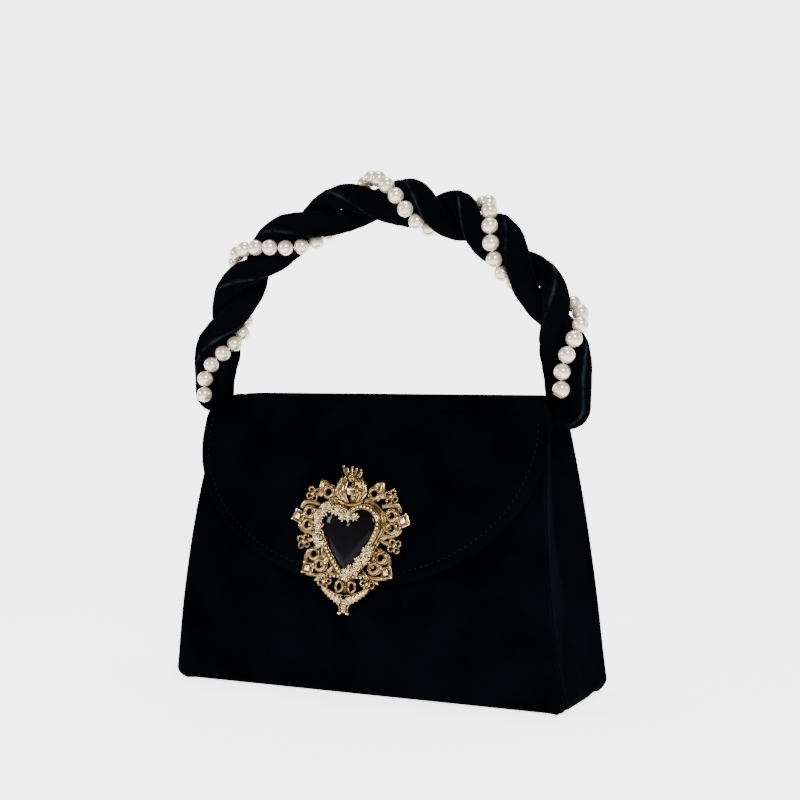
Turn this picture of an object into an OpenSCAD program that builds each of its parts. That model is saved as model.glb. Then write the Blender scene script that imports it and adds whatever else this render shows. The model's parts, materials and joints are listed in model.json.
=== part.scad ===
// Structured evening bag: a tapered shell with a fold-over flap, a pinned heart brooch
// and an arched handle of two padded tubes twisted round each other with a string of pearls.
// Millimetres. The origin is the middle of the base, X runs along the bag, -Y is the front.

/* [Body] */
// Width of the bag at its base
base_w = 210; // [190:1:230]
// Width of the bag at its top edge
top_w = 176; // [168:1:182]
// Height of the bag without its handle
body_h = 145; // [140:1:150]
// Depth at the fullest height of the body
belly_d = 68.4; // [60:0.2:76]
// Depth at the top edge
top_d = 21.4; // [20:0.2:24]
// Height of the fullest depth
belly_z = 38; // [32:1:44]
// Radius of the bottom edges and corners
foot_r = 6; // [5:0.5:7]
// How far each gusset is pinched in between its seams
gusset_pinch = 5; // [2:0.5:7]

/* [Materials] */
// Thickness of the velvet with its wadding
velvet_t = 1.5; // [1.2:0.1:1.6]
// Thickness of the stiffening board
board_t = 1.2; // [0.8:0.1:1.4]
// Thickness of the satin lining
lining_t = 0.8; // [0.6:0.1:0.9]

/* [Flap] */
// Half-width of the flap at its widest
flap_a = 91.5; // [88:0.5:93]
// Height of the widest level of the flap
flap_wide_z = 126; // [120:1:128]
// Height of the flap's lowest point
flap_low_z = 55.5; // [50:0.5:65]
// How far the flap's outer face stands off the front panel
flap_proud = 6; // [5.8:0.1:6.6]
// Width of the strip that runs over the top between the handle's legs
bridge_w = 159; // [150:1:162]
// Distance of the stitched line from the flap's edge
stitch_inset = 4.5; // [3.5:0.5:6]
// Length of one stitch
stitch_l = 2.4; // [1.6:0.2:3]

/* [Handle] */
// Span of the handle between the middles of its two legs
arch_w = 195; // [192:1:198]
// Sideways place of the handle's middle
handle_shift = -3; // [-3:0.5:0]
// Height of the handle's middle line above the base
arch_top_z = 240.5; // [225:0.5:255]
// Half-width of a padded tube across the rope
tube_rad = 5.6; // [5:0.1:6]
// Half-width of a padded tube around the rope
tube_tan = 7.3; // [6:0.1:7.6]
// Distance of each tube's middle from the rope's middle line
lay_r = 5.8; // [5.7:0.1:6.4]
// Thickness of the velvet sleeve on a tube
sleeve_t = 0.9; // [0.6:0.1:1.2]
// Diameter of one pearl
pearl_d = 8; // [7:0.2:9]
// Distance of the pearls from the rope's middle line
pearl_r = 10.2; // [10.2:0.1:10.6]
// How much further out the pearl string runs over the outside of the arch
string_slack = 2; // [0:0.5:3]

/* [Brooch] */
// Sideways place of the brooch's middle
brooch_x = -2; // [-6:0.5:6]
// Height of the brooch's middle
brooch_z = 75; // [72:1:80]
// Backward lean of the brooch
brooch_lean = 9; // [7:0.5:11]
// Half-width of the heart stone
heart_a = 14.5; // [12:0.5:15]

/* [Hidden] */

half_w = base_w / 2;
taper = (base_w - top_w) / 2;
half_d = belly_d / 2;
fall = (half_d - top_d / 2) / pow(body_h - belly_z, 2);
board_in = velvet_t;
lining_in = velvet_t + board_t + 0.1;
stack_t = lining_in + lining_t;
slit = 0.4;
long = 400;

// Half-width and half-depth of the outer shell at a height.
function half_width(z) = half_w - taper * pow(z / body_h, 0.75);
function half_depth(z) = half_d - fall * pow(z - belly_z, 2);

foot_y = half_depth(foot_r) - foot_r;
foot_x = half_width(foot_r) - foot_r;
foot_gap = 12;
gusset_top = body_h - 16.5;
panel_top = body_h - 10;
back_hinge_y = 9.6;
fold_y = -16.1;
roll_r = 2.1;
roll_gap = 0.3;
hinge_z = body_h - roll_r;
bridge_split = body_h - 2.3;
bridge_low = body_h - 3.2;
flap_top = hinge_z - 2;
flap_in = flap_proud - 4.2;
flap_lining_t = 0.8;
flap_velvet_t = 1.6;
shoulder_r = flap_a - bridge_w / 2;

// ---- shared shapes ----

// Turns a YZ profile into a slab along X, and an XZ outline into a slab along Y.
module along_x(w) rotate([90, 0, 90]) linear_extrude(w, center = true) children();
module along_y(d) rotate([90, 0, 0]) linear_extrude(d, center = true) children();

// Points of the back wall's profile at a depth below its outer face, from the foot up.
function wall_foot(depth) = [
    for (a = [foot_gap : 13 : 90])
        [foot_y + (foot_r - depth) * sin(a), foot_r - (foot_r - depth) * cos(a)]
];
function wall_side(depth, top) = [
    for (z = [foot_r + 8 : 8 : panel_top - 3]) [half_depth(z) - depth, z],
    [half_depth(panel_top) - depth, panel_top],
    if (top > panel_top) [half_depth(top) - depth, top]
];
function wall_line(depth, top) = concat(wall_foot(depth), wall_side(depth, top));
function reversed(list) = [for (i = [len(list) - 1 : -1 : 0]) list[i]];
function mirrored(points) = [for (p = reversed(points)) [-p[0], p[1]]];

// One layer of the back wall, between two depths below its outer face.
module wall_layer(depth_a, depth_b, top)
    along_x(long) polygon(concat(wall_line(depth_a, top), reversed(wall_line(depth_b, top))));

// One layer in front of the front wall, between two distances out from its outer face.
module flap_layer(out_a, out_b, top) {
    low = flap_low_z - 1;
    levels = [low, for (z = [low + 7 : 8 : flap_top - 4]) z, flap_top, if (top > flap_top) top];
    along_x(long) polygon(concat(
        [for (z = levels) [-half_depth(z) - out_b, z]],
        [for (z = reversed(levels)) [-half_depth(z) - out_a, z]]
    ));
}

// Front view of a body panel: rounded bottom corners, tapered sides.
function panel_side(inset, top) = [
    for (a = [0 : 15 : 90])
        [foot_x + (foot_r - inset) * sin(a), foot_r - (foot_r - inset) * cos(a)],
    for (z = [foot_r + 10 : 12 : top - 3]) [half_width(z) - inset, z],
    [half_width(top) - inset, top]
];
module panel_outline(inset, top)
    along_y(long) polygon(concat(panel_side(inset, top), mirrored(panel_side(inset, top))));

// Front view of the flap: a half-ellipse below, rounded shoulders above.
function flap_side(inset) = concat(
    [for (a = [0 : 6 : 90])
        [(flap_a - inset) * sin(a), flap_wide_z - (flap_wide_z - flap_low_z - inset) * cos(a)]],
    [for (a = [0 : 15 : 90])
        [bridge_w / 2 + (shoulder_r - inset) * cos(a),
         body_h - shoulder_r + (shoulder_r - inset) * sin(a)]]
);
module flap_outline(inset)
    along_y(long) polygon(concat(flap_side(inset), mirrored(flap_side(inset))));

// A rod along X at a hinge line.
module hinge_rod(y, r, w)
    translate([-w / 2, y, hinge_z]) rotate([0, 90, 0]) cylinder(h = w, r = r, $fn = 48);

// A closed solid from a list of rings with the same number of points each.
module skin(rings) {
    n = len(rings[0]);
    m = len(rings);
    polyhedron(
        points = [for (ring = rings) each ring],
        faces = concat(
            [[for (i = [0 : n - 1]) i]],
            [for (j = [0 : m - 2], i = [0 : n - 1])
                let (k = (i + 1) % n)
                    each [[j * n + i, (j + 1) * n + i, (j + 1) * n + k],
                          [j * n + i, (j + 1) * n + k, j * n + k]]],
            [[for (i = [n - 1 : -1 : 0]) (m - 1) * n + i]]
        )
    );
}

// ---- body shell ----

module back_panel() color("#101014") {
    intersection() {
        wall_layer(0, velvet_t, hinge_z - 1.5);
        union() {
            panel_outline(0, panel_top);
            translate([-bridge_w / 2, 0, panel_top - 1]) cube([bridge_w, 60, 20]);
        }
    }
    hinge_rod(back_hinge_y, roll_r, bridge_w);
}

module back_board() color("#8a8378") intersection() {
    wall_layer(board_in, board_in + board_t, panel_top);
    panel_outline(3, panel_top - 1);
}

module back_lining() color("#17161c") intersection() {
    wall_layer(lining_in, stack_t, panel_top);
    panel_outline(1.6, panel_top + 0.5);
}

// The front wall is the back wall mirrored, cut lower so that the mouth opens.
module front_wall(depth_a, depth_b, inset, top) intersection() {
    mirror([0, 1, 0]) wall_layer(depth_a, depth_b, panel_top);
    panel_outline(inset, top);
}

module front_panel() color("#101014") difference() {
    front_wall(0, velvet_t, 0, panel_top + 1);
    at_snap(0) translate([0, 0, -8]) cylinder(h = 16, r = snap_r + 0.1, $fn = 48);
}

module front_board() color("#8a8378") difference() {
    front_wall(board_in, board_in + board_t, 3, panel_top - 1);
    at_snap(0) translate([0, 0, -8]) cylinder(h = 16, r = washer_r + 0.1, $fn = 48);
}

module front_lining() color("#17161c") front_wall(lining_in, stack_t, 1.6, panel_top + 1);

// A rounded rectangle plate lying flat.
module flat_plate(x, y, r, low, t) translate([0, 0, low]) linear_extrude(t) {
    square([2 * x - 2 * r, 2 * y], center = true);
    square([2 * x, 2 * y - 2 * r], center = true);
    for (sx = [-1, 1], sy = [-1, 1]) translate([sx * (x - r), sy * (y - r)]) circle(r, $fn = 32);
}
base_x = half_width(foot_r) - 2;
module base_panel() color("#101014") flat_plate(base_x, foot_y - 0.1, 5, 0, velvet_t);
module base_board() color("#8a8378")
    flat_plate(foot_x - 4, foot_y - 0.6, 5, velvet_t, board_t);
module base_lining() color("#17161c")
    flat_plate(foot_x - 3.6, foot_y - 0.4, 5, lining_in, lining_t);

// Side of the shell in front view, with its rounded foot, and how far the gusset is pinched.
function side_x(z) = z < foot_r ? foot_x + sqrt(pow(foot_r, 2) - pow(foot_r - z, 2)) : half_width(z);
function ramp(t) = let (u = min(max(t, 0), 1)) u * u * (3 - 2 * u);
function pinch(z, t) =
    gusset_pinch * ramp((z - 6) / 55) * (1 - 0.4 * ramp((z - 90) / 40)) * pow(sin(180 * t), 1.3);

// Inner face of the front and back walls at a height, where the gusset ends.
wall_r = foot_r - stack_t;
function wall_inner(z) =
    z <= stack_t ? foot_y
    : z < foot_r ? foot_y + sqrt(pow(wall_r, 2) - pow(foot_r - z, 2))
    : half_depth(z) - stack_t;

// One layer of the right gusset between two depths below its outer face.
gusset_levels = [velvet_t + 0.1, 3.4, foot_r, 14, 26, 40, 56, 72, 88, 102, 116, gusset_top];
gusset_cols = 6;
module gusset_layer(depth_a, depth_b, top) {
    levels = [for (z = gusset_levels) min(z, top)];
    skin([for (z = levels)
        let (front = -(wall_inner(z) - slit), back = wall_inner(z))
            concat(
                [for (i = [0 : gusset_cols])
                    let (t = i / gusset_cols)
                        [side_x(z) - depth_a - pinch(z, t), front + (back - front) * t, z]],
                [for (i = [gusset_cols : -1 : 0])
                    let (t = i / gusset_cols)
                        [side_x(z) - depth_b - pinch(z, t), front + (back - front) * t, z]]
            )
    ]);
}
gusset_gap = 1.2;
module gusset_right() color("#101014") gusset_layer(0, velvet_t, gusset_top);
module gusset_left() color("#101014") mirror([1, 0, 0]) gusset_layer(0, velvet_t, gusset_top);
module gusset_lining_right() color("#17161c")
    gusset_layer(velvet_t + gusset_gap, velvet_t + gusset_gap + lining_t, gusset_top - 0.5);
module gusset_lining_left() color("#17161c") mirror([1, 0, 0])
    gusset_layer(velvet_t + gusset_gap, velvet_t + gusset_gap + lining_t, gusset_top - 0.5);

// Slip pocket on the back lining, open at its top.
pocket_w = 100;
pocket_low = 42;
pocket_top = 92;
pocket_deep = 7;
module pocket_block(depth_a, depth_b, w, low, top) intersection() {
    wall_layer(depth_a, depth_b, panel_top);
    translate([-w / 2, 0, low]) cube([w, 60, top - low]);
}
module slip_pocket() color("#17161c") difference() {
    pocket_block(stack_t, stack_t + pocket_deep + lining_t, pocket_w, pocket_low, pocket_top);
    pocket_block(stack_t - 1, stack_t + pocket_deep, pocket_w - 2 * lining_t,
        pocket_low + lining_t, pocket_top + 5);
}
module pocket_binding() color("#101014")
    pocket_block(stack_t + pocket_deep - 0.3, stack_t + pocket_deep + lining_t + 0.3,
        pocket_w, pocket_top, pocket_top + 2);

// ---- magnetic snap ----

snap_z = 66;
snap_r = 7.5;
socket_seat = 2.2;
socket_h = 2.8;
socket_floor = 0.6;
magnet_h = 1.4;
stud_h = 2;
stud_tip_h = 1.3;
stud_tip_r = 2.2;
socket_hole_r = 2.6;
washer_r = 9;
washer_t = 0.5;
washer_seat = 2.75;
prong_x = 4.2;
snap_lean = atan(2 * fall * (snap_z - belly_z));

// Puts local +Z straight out of the front wall at the snap, starting a distance out from it.
module at_snap(out) translate([0, -half_depth(snap_z), snap_z]) rotate([90 - snap_lean, 0, 0])
    translate([0, 0, out]) children();

module snap_socket() color("#b9975a") at_snap(-socket_seat) difference() {
    cylinder(h = socket_h, r = snap_r, $fn = 48);
    translate([0, 0, socket_floor]) cylinder(h = magnet_h + 0.1, r = snap_r - 0.7, $fn = 48);
    translate([0, 0, socket_floor]) cylinder(h = socket_h, r = socket_hole_r, $fn = 48);
}
module snap_magnet() color("#3a3a3e") at_snap(socket_floor - socket_seat) difference() {
    cylinder(h = magnet_h, r = snap_r - 0.8, $fn = 48);
    translate([0, 0, -1]) cylinder(h = magnet_h + 2, r = socket_hole_r + 0.4, $fn = 48);
}

// Washer with two slots for the snap's prongs.
module slotted_washer() difference() {
    cylinder(h = washer_t, r = washer_r, $fn = 48);
    for (s = [-1, 1]) translate([s * prong_x - 0.5, -1.5, -1]) cube([1, 3, 3]);
}
module socket_washer() color("#9a9aa0") at_snap(-washer_seat) slotted_washer();
module snap_stud() color("#b9975a") at_snap(flap_in - 0.6) {
    cylinder(h = stud_h, r = snap_r, $fn = 48);
    translate([0, 0, -stud_tip_h]) cylinder(h = stud_tip_h + 0.1, r = stud_tip_r, $fn = 48);
}
module stud_washer() color("#9a9aa0") at_snap(flap_in - 0.6 + stud_h + 0.1) slotted_washer();

// ---- strip over the top ----

// A slab of the strip between two heights, hollowed round the two hinge rods.
module bridge_layer(low, high) difference() {
    translate([-bridge_w / 2, fold_y, low]) cube([bridge_w, back_hinge_y - fold_y, high - low]);
    hinge_rod(back_hinge_y, roll_r + roll_gap, bridge_w + 2);
    hinge_rod(fold_y, roll_r, bridge_w + 2);
}
module bridge_panel() color("#101014") {
    bridge_layer(bridge_split, body_h);
    hinge_rod(fold_y, roll_r, bridge_w);
}
module bridge_lining() color("#17161c") bridge_layer(bridge_low, bridge_split);

// ---- flap ----

// Places of the two posts in the brooch's plane.
post_u = 9;
post_v = 6;

module flap_piece(out_a, out_b, inset) difference() {
    intersection() {
        flap_layer(out_a, out_b, flap_top);
        flap_outline(inset);
    }
    hinge_rod(fold_y, roll_r + roll_gap, long);
}
module flap_panel() color("#101014") difference() {
    flap_piece(flap_in, flap_proud, 0);
    intersection() {
        flap_layer(flap_in - 1, flap_proud - flap_velvet_t, flap_top + 3);
        flap_outline(flap_velvet_t);
    }
    post_holes(post_r + 0.1);
}
module flap_board() color("#8a8378") difference() {
    flap_piece(flap_in + flap_lining_t, flap_proud - flap_velvet_t - 0.05, flap_velvet_t + 0.1);
    post_holes(nut_r + 0.2);
    at_snap(0) cylinder(h = 20, r = washer_r + 0.1, $fn = 48);
}
module flap_lining() color("#17161c") difference() {
    flap_piece(flap_in, flap_in + flap_lining_t, flap_velvet_t + 0.1);
    at_snap(0) cylinder(h = 20, r = snap_r + 0.1, $fn = 48);
}

// Stitches along the flap's edge, laid on its outer face.
function stitch_point(a) = [
    (flap_a - stitch_inset) * sin(a),
    flap_wide_z - (flap_wide_z - flap_low_z - stitch_inset) * cos(a)
];
stitch_turn = 2.1;
stitch_r = 0.3;
module flap_stitching() color("#1c1c22")
    for (a = [-88 : stitch_turn : 88]) {
        p = stitch_point(a);
        q = stitch_point(a + 0.5);
        lean = atan(2 * fall * (p[1] - belly_z));
        translate([p[0], -half_depth(p[1]) - flap_proud, p[1]])
            rotate([-lean, -atan2(q[1] - p[1], q[0] - p[0]), 0])
                rotate([0, 90, 0]) cylinder(h = stitch_l, r = stitch_r, center = true, $fn = 16);
    }

// ---- brooch ----

plate_low = 0.25;
plate_t = 1.2;
plate_top = plate_low + plate_t;
post_r = 1;
post_deep = 3.2;
nut_r = 3;

// Puts local X and Y in the brooch's plane and local +Z out of its face.
module at_brooch() translate([brooch_x, -half_depth(brooch_z) - flap_proud, brooch_z])
    rotate([90 - brooch_lean, 0, 0]) children();

module post_holes(r) for (s = [-1, 1])
    at_brooch() translate([s * post_u, post_v, -9]) cylinder(h = 12, r = r, $fn = 32);

// Heart outline: two round lobes drawn down to a point.
heart_low = -15.5;
heart_lobe_z = 8.5;
function heart_right(a, grow) =
    let (r = heart_a / 2 + grow)
        [heart_a / 2 + r * sin(a), heart_lobe_z + (a < 90 ? r * cos(a) : 0)];
function heart_side(grow) = concat(
    [[0, heart_lobe_z + 3.4 + grow]],
    [for (a = [-50 : 20 : 70]) heart_right(a, grow)],
    [for (t = [0 : 0.2 : 0.8])
        [(heart_a + grow) * (1 - t) * (1 + 0.45 * t),
         heart_lobe_z - 1 + (heart_low - grow - heart_lobe_z + 1) * t]],
    [[0, heart_low - grow * 1.3]]
);
module heart_outline(grow) polygon(concat(
    heart_side(grow),
    [for (p = reversed(heart_side(grow))) if (p[0] > 0.01) [-p[0], p[1]]]
));

module rod(x, y, low, h, r) translate([x, y, low]) cylinder(h = h, r = r, $fn = 32);

// A bar between two points in the brooch's plane.
module bar(p, q, w, low, h) translate([p[0], p[1], low])
    rotate([0, 0, atan2(q[1] - p[1], q[0] - p[0])])
        translate([0, -w / 2, 0]) cube([norm(q - p), w, h]);

ring_places = [[12.2, 23.4], [21.9, 13.4], [22.4, 7.4], [17.9, -6.6], [14.3, -11.6]];
knot_places = [[20.9, 22.3], [24.2, -0.8], [11.4, -19.4]];
stud_places = [[28, 11.2], [20.9, -13.4]];
oval_places = [[3.2, -21.2]];
knot_turns = [20, -12, -55];
ring_r = 3;
ring_hole = 1.65;
knot_step = 1.45;
knot_ring = 1.62;
knot_hole = 0.65;

frame_w = 1.7;
join_r = 0.1;
frame_bars = [
    [[6, 19], [12.2, 21.5]], [[12.2, 26], [17, 27.5]], [[14.5, 23], [20, 22]], [[17, 17.5], [25, 18]],
    [[25, 18], [27, 12]], [[14, 14], [21, 13.4]], [[15, 8], [22.4, 7.4]], [[27, 10], [24, 4]],
    [[24, 4], [16, 1.5]], [[15.5, 2], [23, -0.8]], [[13.5, -1], [17.9, -4]], [[21, -5], [22, -12]],
    [[10, -8], [14.3, -11.6]], [[22, -15.5], [9, -15.5]], [[7, -12], [11.4, -18]], [[11.4, -20.6], [6, -24.5]],
    [[2, -12], [3.2, -21]], [[3.2, -21], [3.2, -26]]
];

// Flat shapes of the openwork plate, for the right half; the left half mirrors them.
module discs(places, r) for (p = places) translate(p) circle(r, $fn = 24);
module knots(r) for (k = [0 : len(knot_places) - 1], a = [0 : 90 : 270])
    translate(knot_places[k]) rotate(knot_turns[k] + a)
        translate([knot_step, knot_step]) circle(r, $fn = 16);
module flat_bar(p, q, w) translate(p) rotate(atan2(q[1] - p[1], q[0] - p[0]))
    translate([0, -w / 2]) square([norm(q - p), w]);
module plate_half() {
    discs(ring_places, ring_r);
    discs(stud_places, ring_r);
    discs(oval_places, 3.4);
    knots(knot_ring);
    for (b = frame_bars) flat_bar(b[0], b[1], frame_w);
    translate([16.1, 25.4]) polygon([[-1.8, -4], [1.8, -4], [1.2, 0.5], [0, 4], [-1.4, 0.5]]);
}
module plate_half_holes() {
    discs(ring_places, ring_hole);
    discs(oval_places, 1.9);
    knots(knot_hole);
}
module brooch_plate() color("#cfae72") at_brooch() translate([0, 0, plate_low])
    linear_extrude(plate_t) offset(delta = -join_r) offset(delta = join_r) difference() {
        union() {
            heart_outline(3);
            translate([-6, 15]) square([12, 8]);
            for (s = [0, 1]) mirror([s, 0]) plate_half();
        }
        for (s = [0, 1]) mirror([s, 0]) plate_half_holes();
    }

module brooch_posts() color("#cfae72") at_brooch()
    for (s = [-1, 1]) rod(s * post_u, post_v, -post_deep, post_deep + plate_low, post_r);
module post_nuts() color("#cfae72") at_brooch()
    for (s = [-1, 1]) translate([s * post_u, post_v, -3]) difference() {
        cylinder(h = 1, r = nut_r, $fn = 6);
        translate([0, 0, -1]) cylinder(h = 3, r = post_r + 0.03, $fn = 32);
    }

bezel_h = 2.2;
module heart_bezel() color("#cfae72") at_brooch() translate([0, 0, plate_top])
    linear_extrude(bezel_h) difference() {
        heart_outline(2.2);
        heart_outline(0.1);
    }
stone_h = 3.4;
stone_dome_r = 46;
module heart_stone() color("#050506") at_brooch() intersection() {
    translate([0, 0, plate_top]) linear_extrude(2 * stone_h) heart_outline(0);
    translate([0, -1, plate_top + stone_h - stone_dome_r]) sphere(r = stone_dome_r, $fn = 96);
}

// Small beads seated on the bezel.
bead_r = 0.85;
bead_step = 2.1;
bead_side = heart_side(1.15);
bead_lengths = lengths(bead_side);
bead_l = bead_lengths[len(bead_lengths) - 1];
function bead_at(d) = [for (k = [0, 1])
    lookup(d, [for (i = [0 : len(bead_side) - 1]) [bead_lengths[i], bead_side[i][k]]])];
module bezel_beads() color("#d8ba80") at_brooch()
    for (s = [-1, 1], d = [bead_step : bead_step : bead_l - bead_step]) {
        p = bead_at(d);
        translate([s * p[0], p[1], plate_top + bezel_h + bead_r * 0.98]) sphere(r = bead_r, $fn = 20);
    }

// Flame tongues that fan out above the heart.
module tongue(l, w, lean) polygon([
    [-w / 2, 0], [w / 2, 0], [w * 0.55, l * 0.35], [w * 0.3 + lean * 0.5, l * 0.7],
    [lean, l], [-w * 0.2 + lean * 0.4, l * 0.66], [-w * 0.6, l * 0.33]
]);
crest_low = 18.5;
module flame_crest() color("#cfae72") at_brooch() {
    for (k = [-3 : 3]) translate([k * 2, crest_low, plate_top + 0.3 * (3 - abs(k))])
        rotate([0, 0, -k * 5]) linear_extrude(1.6) tongue(13.5 - 1.5 * abs(k), 3.4, k * 0.5);
    for (k = [-1, 0, 1]) translate([k * 2.2, crest_low + 6, plate_top + 0.6])
        rotate([0, 0, -k * 14]) linear_extrude(1.5) tongue(11 - abs(k), 3.2, k * 0.8);
    translate([-6, crest_low - 0.4, plate_top]) cube([12, 2.6, 1.2]);
}

// Rosettes: eight-pointed flowers with a round middle.
module rosette(p, r, low) translate([p[0], p[1], low]) {
    linear_extrude(1) polygon([
        for (i = [0 : 15]) (i % 2 == 0 ? r : r * 0.62) * [cos(i * 22.5), sin(i * 22.5)]
    ]);
    cylinder(h = 1.7, r = r * 0.36, $fn = 24);
}
bloom_low = plate_top + bezel_h + 2 * bead_r + 0.1;
bead_clear = 0.05;
upper_blooms = [[-12, 16.6], [-8.4, 16.2], [-4.8, 14.4], [-1, 12.4], [2.8, 13.6], [-14.8, 13],
    [-15.6, 9], [-15.2, 5], [-14.2, 1.2]];
lower_blooms = [[3, -13.2], [6.4, -10.8], [9.4, -8], [11.6, -4.8], [6, -14.4], [9.6, -11.8]];
module flower_spray_upper() color("#d8ba80") at_brooch()
    for (p = upper_blooms) rosette(p, 2.3, bloom_low + bead_clear);
module flower_spray_lower() color("#d8ba80") at_brooch()
    for (p = lower_blooms) rosette(p, 2.3, bloom_low + bead_clear);

module corner_studs() color("#d8ba80") at_brooch()
    for (s = [-1, 1], p = stud_places) translate([s * p[0], p[1], plate_top]) rotate([0, 0, 18 * s]) {
        translate([-2.2, -2.2, 0]) cube([4.4, 4.4, 1.2]);
        translate([0, 0, 1.2]) rotate([0, 0, 45]) cylinder(h = 1.1, r1 = 2.6, r2 = 1.2, $fn = 4);
    }

// Ribbed collar that tapers to a small flared foot.
rib_w = 0.7;
rib_h = 0.5;
module brooch_pendant() color("#cfae72") at_brooch() {
    translate([0, 0, plate_top]) linear_extrude(plate_t) polygon([
        [-12, -21.8], [-7, -25.4], [7, -25.4], [12, -21.8], [9.6, -25.6], [3.2, -29.4],
        [2, -32], [2.9, -34.2], [-2.9, -34.2], [-2, -32], [-3.2, -29.4], [-9.6, -25.6]
    ]);
    for (s = [-1, 1], i = [0 : 4])
        bar([s * (2.4 + 1.8 * i), -26.4 + 0.55 * i], [s * (1.4 + 1.6 * i), -28.4 + 0.95 * i],
            rib_w, plate_top + plate_t, rib_h);
}

// ---- handle ----

leg_low_z = body_h - 9;
arch_z = body_h + 3;
bight_z_left = body_h + 1;
bight_z_right = body_h - 5;
bight_r = 5.7;
bight_tube = 5.2;
arch_a = arch_w / 2;
arch_b = arch_top_z - arch_z;
arch_steps = 96;

// Points of the rope's middle line in the XZ plane, left foot to right foot.
arch_points = concat(
    [[handle_shift - arch_a, leg_low_z]],
    [for (i = [0 : arch_steps])
        let (a = 180 - 180 * i / arch_steps) [handle_shift + arch_a * cos(a), arch_z + arch_b * sin(a)]],
    [[handle_shift + arch_a, leg_low_z]]
);
function lengths(points, i = 0, sum = 0) = i >= len(points) ? []
    : let (s = sum + (i == 0 ? 0 : norm(points[i] - points[i - 1])))
        concat([s], lengths(points, i + 1, s));
arch_lengths = lengths(arch_points);
arch_l = arch_lengths[len(arch_lengths) - 1];
arch_x_table = [for (i = [0 : len(arch_points) - 1]) [arch_lengths[i], arch_points[i][0]]];
arch_z_table = [for (i = [0 : len(arch_points) - 1]) [arch_lengths[i], arch_points[i][1]]];
function arch_at(s) = [lookup(s, arch_x_table), 0, lookup(s, arch_z_table)];
function unit(v) = v / norm(v);
function arch_out(s) =
    let (d = arch_at(min(s + 2, arch_l)) - arch_at(max(s - 2, 0)), t = unit(d)) [-t[2], 0, t[0]];

// Turns of the twist at a distance along the rope: none in the feet, four in all.
twist_stations = [[0, 0], [22, 0], [94, 1], [177, 2], [227, 3], [298, 4], [arch_l, 4]];
function turns(s) =
    (lookup(s - 7, twist_stations) + lookup(s, twist_stations) + lookup(s + 7, twist_stations)) / 3;

first_s = bight_z_left - leg_low_z;
last_s = arch_l - (bight_z_right - leg_low_z);
fatten_l = 26;
function rope_mid(s) = ramp(min(s - first_s, last_s - s) / fatten_l);
function blend(a, b, t) = a + (b - a) * t;

// One padded tube's section at a distance along the rope.
function ring_at(centre, e1, e2, r1, r2, sides) = [
    for (i = [0 : sides - 1])
        let (a = 360 * i / sides) centre + r1 * cos(a) * e1 + r2 * sin(a) * e2
];
function tube_ring(s, phase, wall, sides) =
    let (
        a = 360 * turns(s) + phase,
        out = arch_out(s),
        e1 = cos(a) * out + sin(a) * [0, -1, 0],
        e2 = -sin(a) * out + cos(a) * [0, -1, 0],
        m = rope_mid(s),
        far = blend(bight_r, lay_r, m)
    )
        ring_at(arch_at(s) + far * e1, e1, e2,
            blend(bight_tube, tube_rad, m) - wall, blend(bight_tube, tube_tan, m) - wall, sides);
function bight_ring(side, a, wall, sides) =
    let (
        e1 = [cos(a), 0, -sin(a)],
        e2 = [0, -side, 0],
        c = [handle_shift + side * arch_a, 0, side > 0 ? bight_z_right : bight_z_left]
    )
        ring_at(c + bight_r * e1, e1, e2, bight_tube - wall, bight_tube - wall, sides);

ring_step = 5.2;
rope_steps = round((last_s - first_s) / ring_step);
rope_stations = [
    for (i = [0 : rope_steps]) first_s + (last_s - first_s) * i / rope_steps
];
bight_angles = [30 : 30 : 180];

// Tube A ends in the U-turn on the right, tube B starts with the U-turn on the left.
function tube_a_rings(wall, sides) = concat(
    [for (s = rope_stations) tube_ring(s, 0, wall, sides)],
    [for (a = bight_angles) bight_ring(1, min(a, 176), wall, sides)]
);
function tube_b_rings(wall, sides) = concat(
    [for (a = bight_angles) bight_ring(-1, max(180 - a + 30, 0) + (a == 30 ? -4 : 0), wall, sides)],
    [for (s = rope_stations) tube_ring(s, 180, wall, sides)]
);

// A hollow sleeve from outer and inner rings.
module sleeve(outer, inner) {
    n = len(outer[0]);
    m = len(outer);
    inside = n * m;
    polyhedron(
        points = concat([for (ring = outer) each ring], [for (ring = inner) each ring]),
        faces = concat(
            [for (j = [0 : m - 2], i = [0 : n - 1])
                let (k = (i + 1) % n)
                    each [[j * n + i, (j + 1) * n + i, (j + 1) * n + k],
                          [j * n + i, (j + 1) * n + k, j * n + k],
                          [inside + j * n + i, inside + (j + 1) * n + k, inside + (j + 1) * n + i],
                          [inside + j * n + i, inside + j * n + k, inside + (j + 1) * n + k]]],
            [for (i = [0 : n - 1])
                let (k = (i + 1) % n, e = (m - 1) * n)
                    each [[i, k, inside + k], [i, inside + k, inside + i],
                          [e + k, e + i, inside + e + i], [e + k, inside + e + i, inside + e + k]]]
        )
    );
}
sleeve_sides = 10;
core_sides = 8;
core_wall = sleeve_t + 0.5;
module tube_a_sleeve() color("#0c0c10")
    sleeve(tube_a_rings(0, sleeve_sides), tube_a_rings(sleeve_t, sleeve_sides));
module tube_b_sleeve() color("#0c0c10")
    sleeve(tube_b_rings(0, sleeve_sides), tube_b_rings(sleeve_t, sleeve_sides));
module tube_a_core() color("#d9d4c8") skin(tube_a_rings(core_wall, core_sides));
module tube_b_core() color("#d9d4c8") skin(tube_b_rings(core_wall, core_sides));

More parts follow.
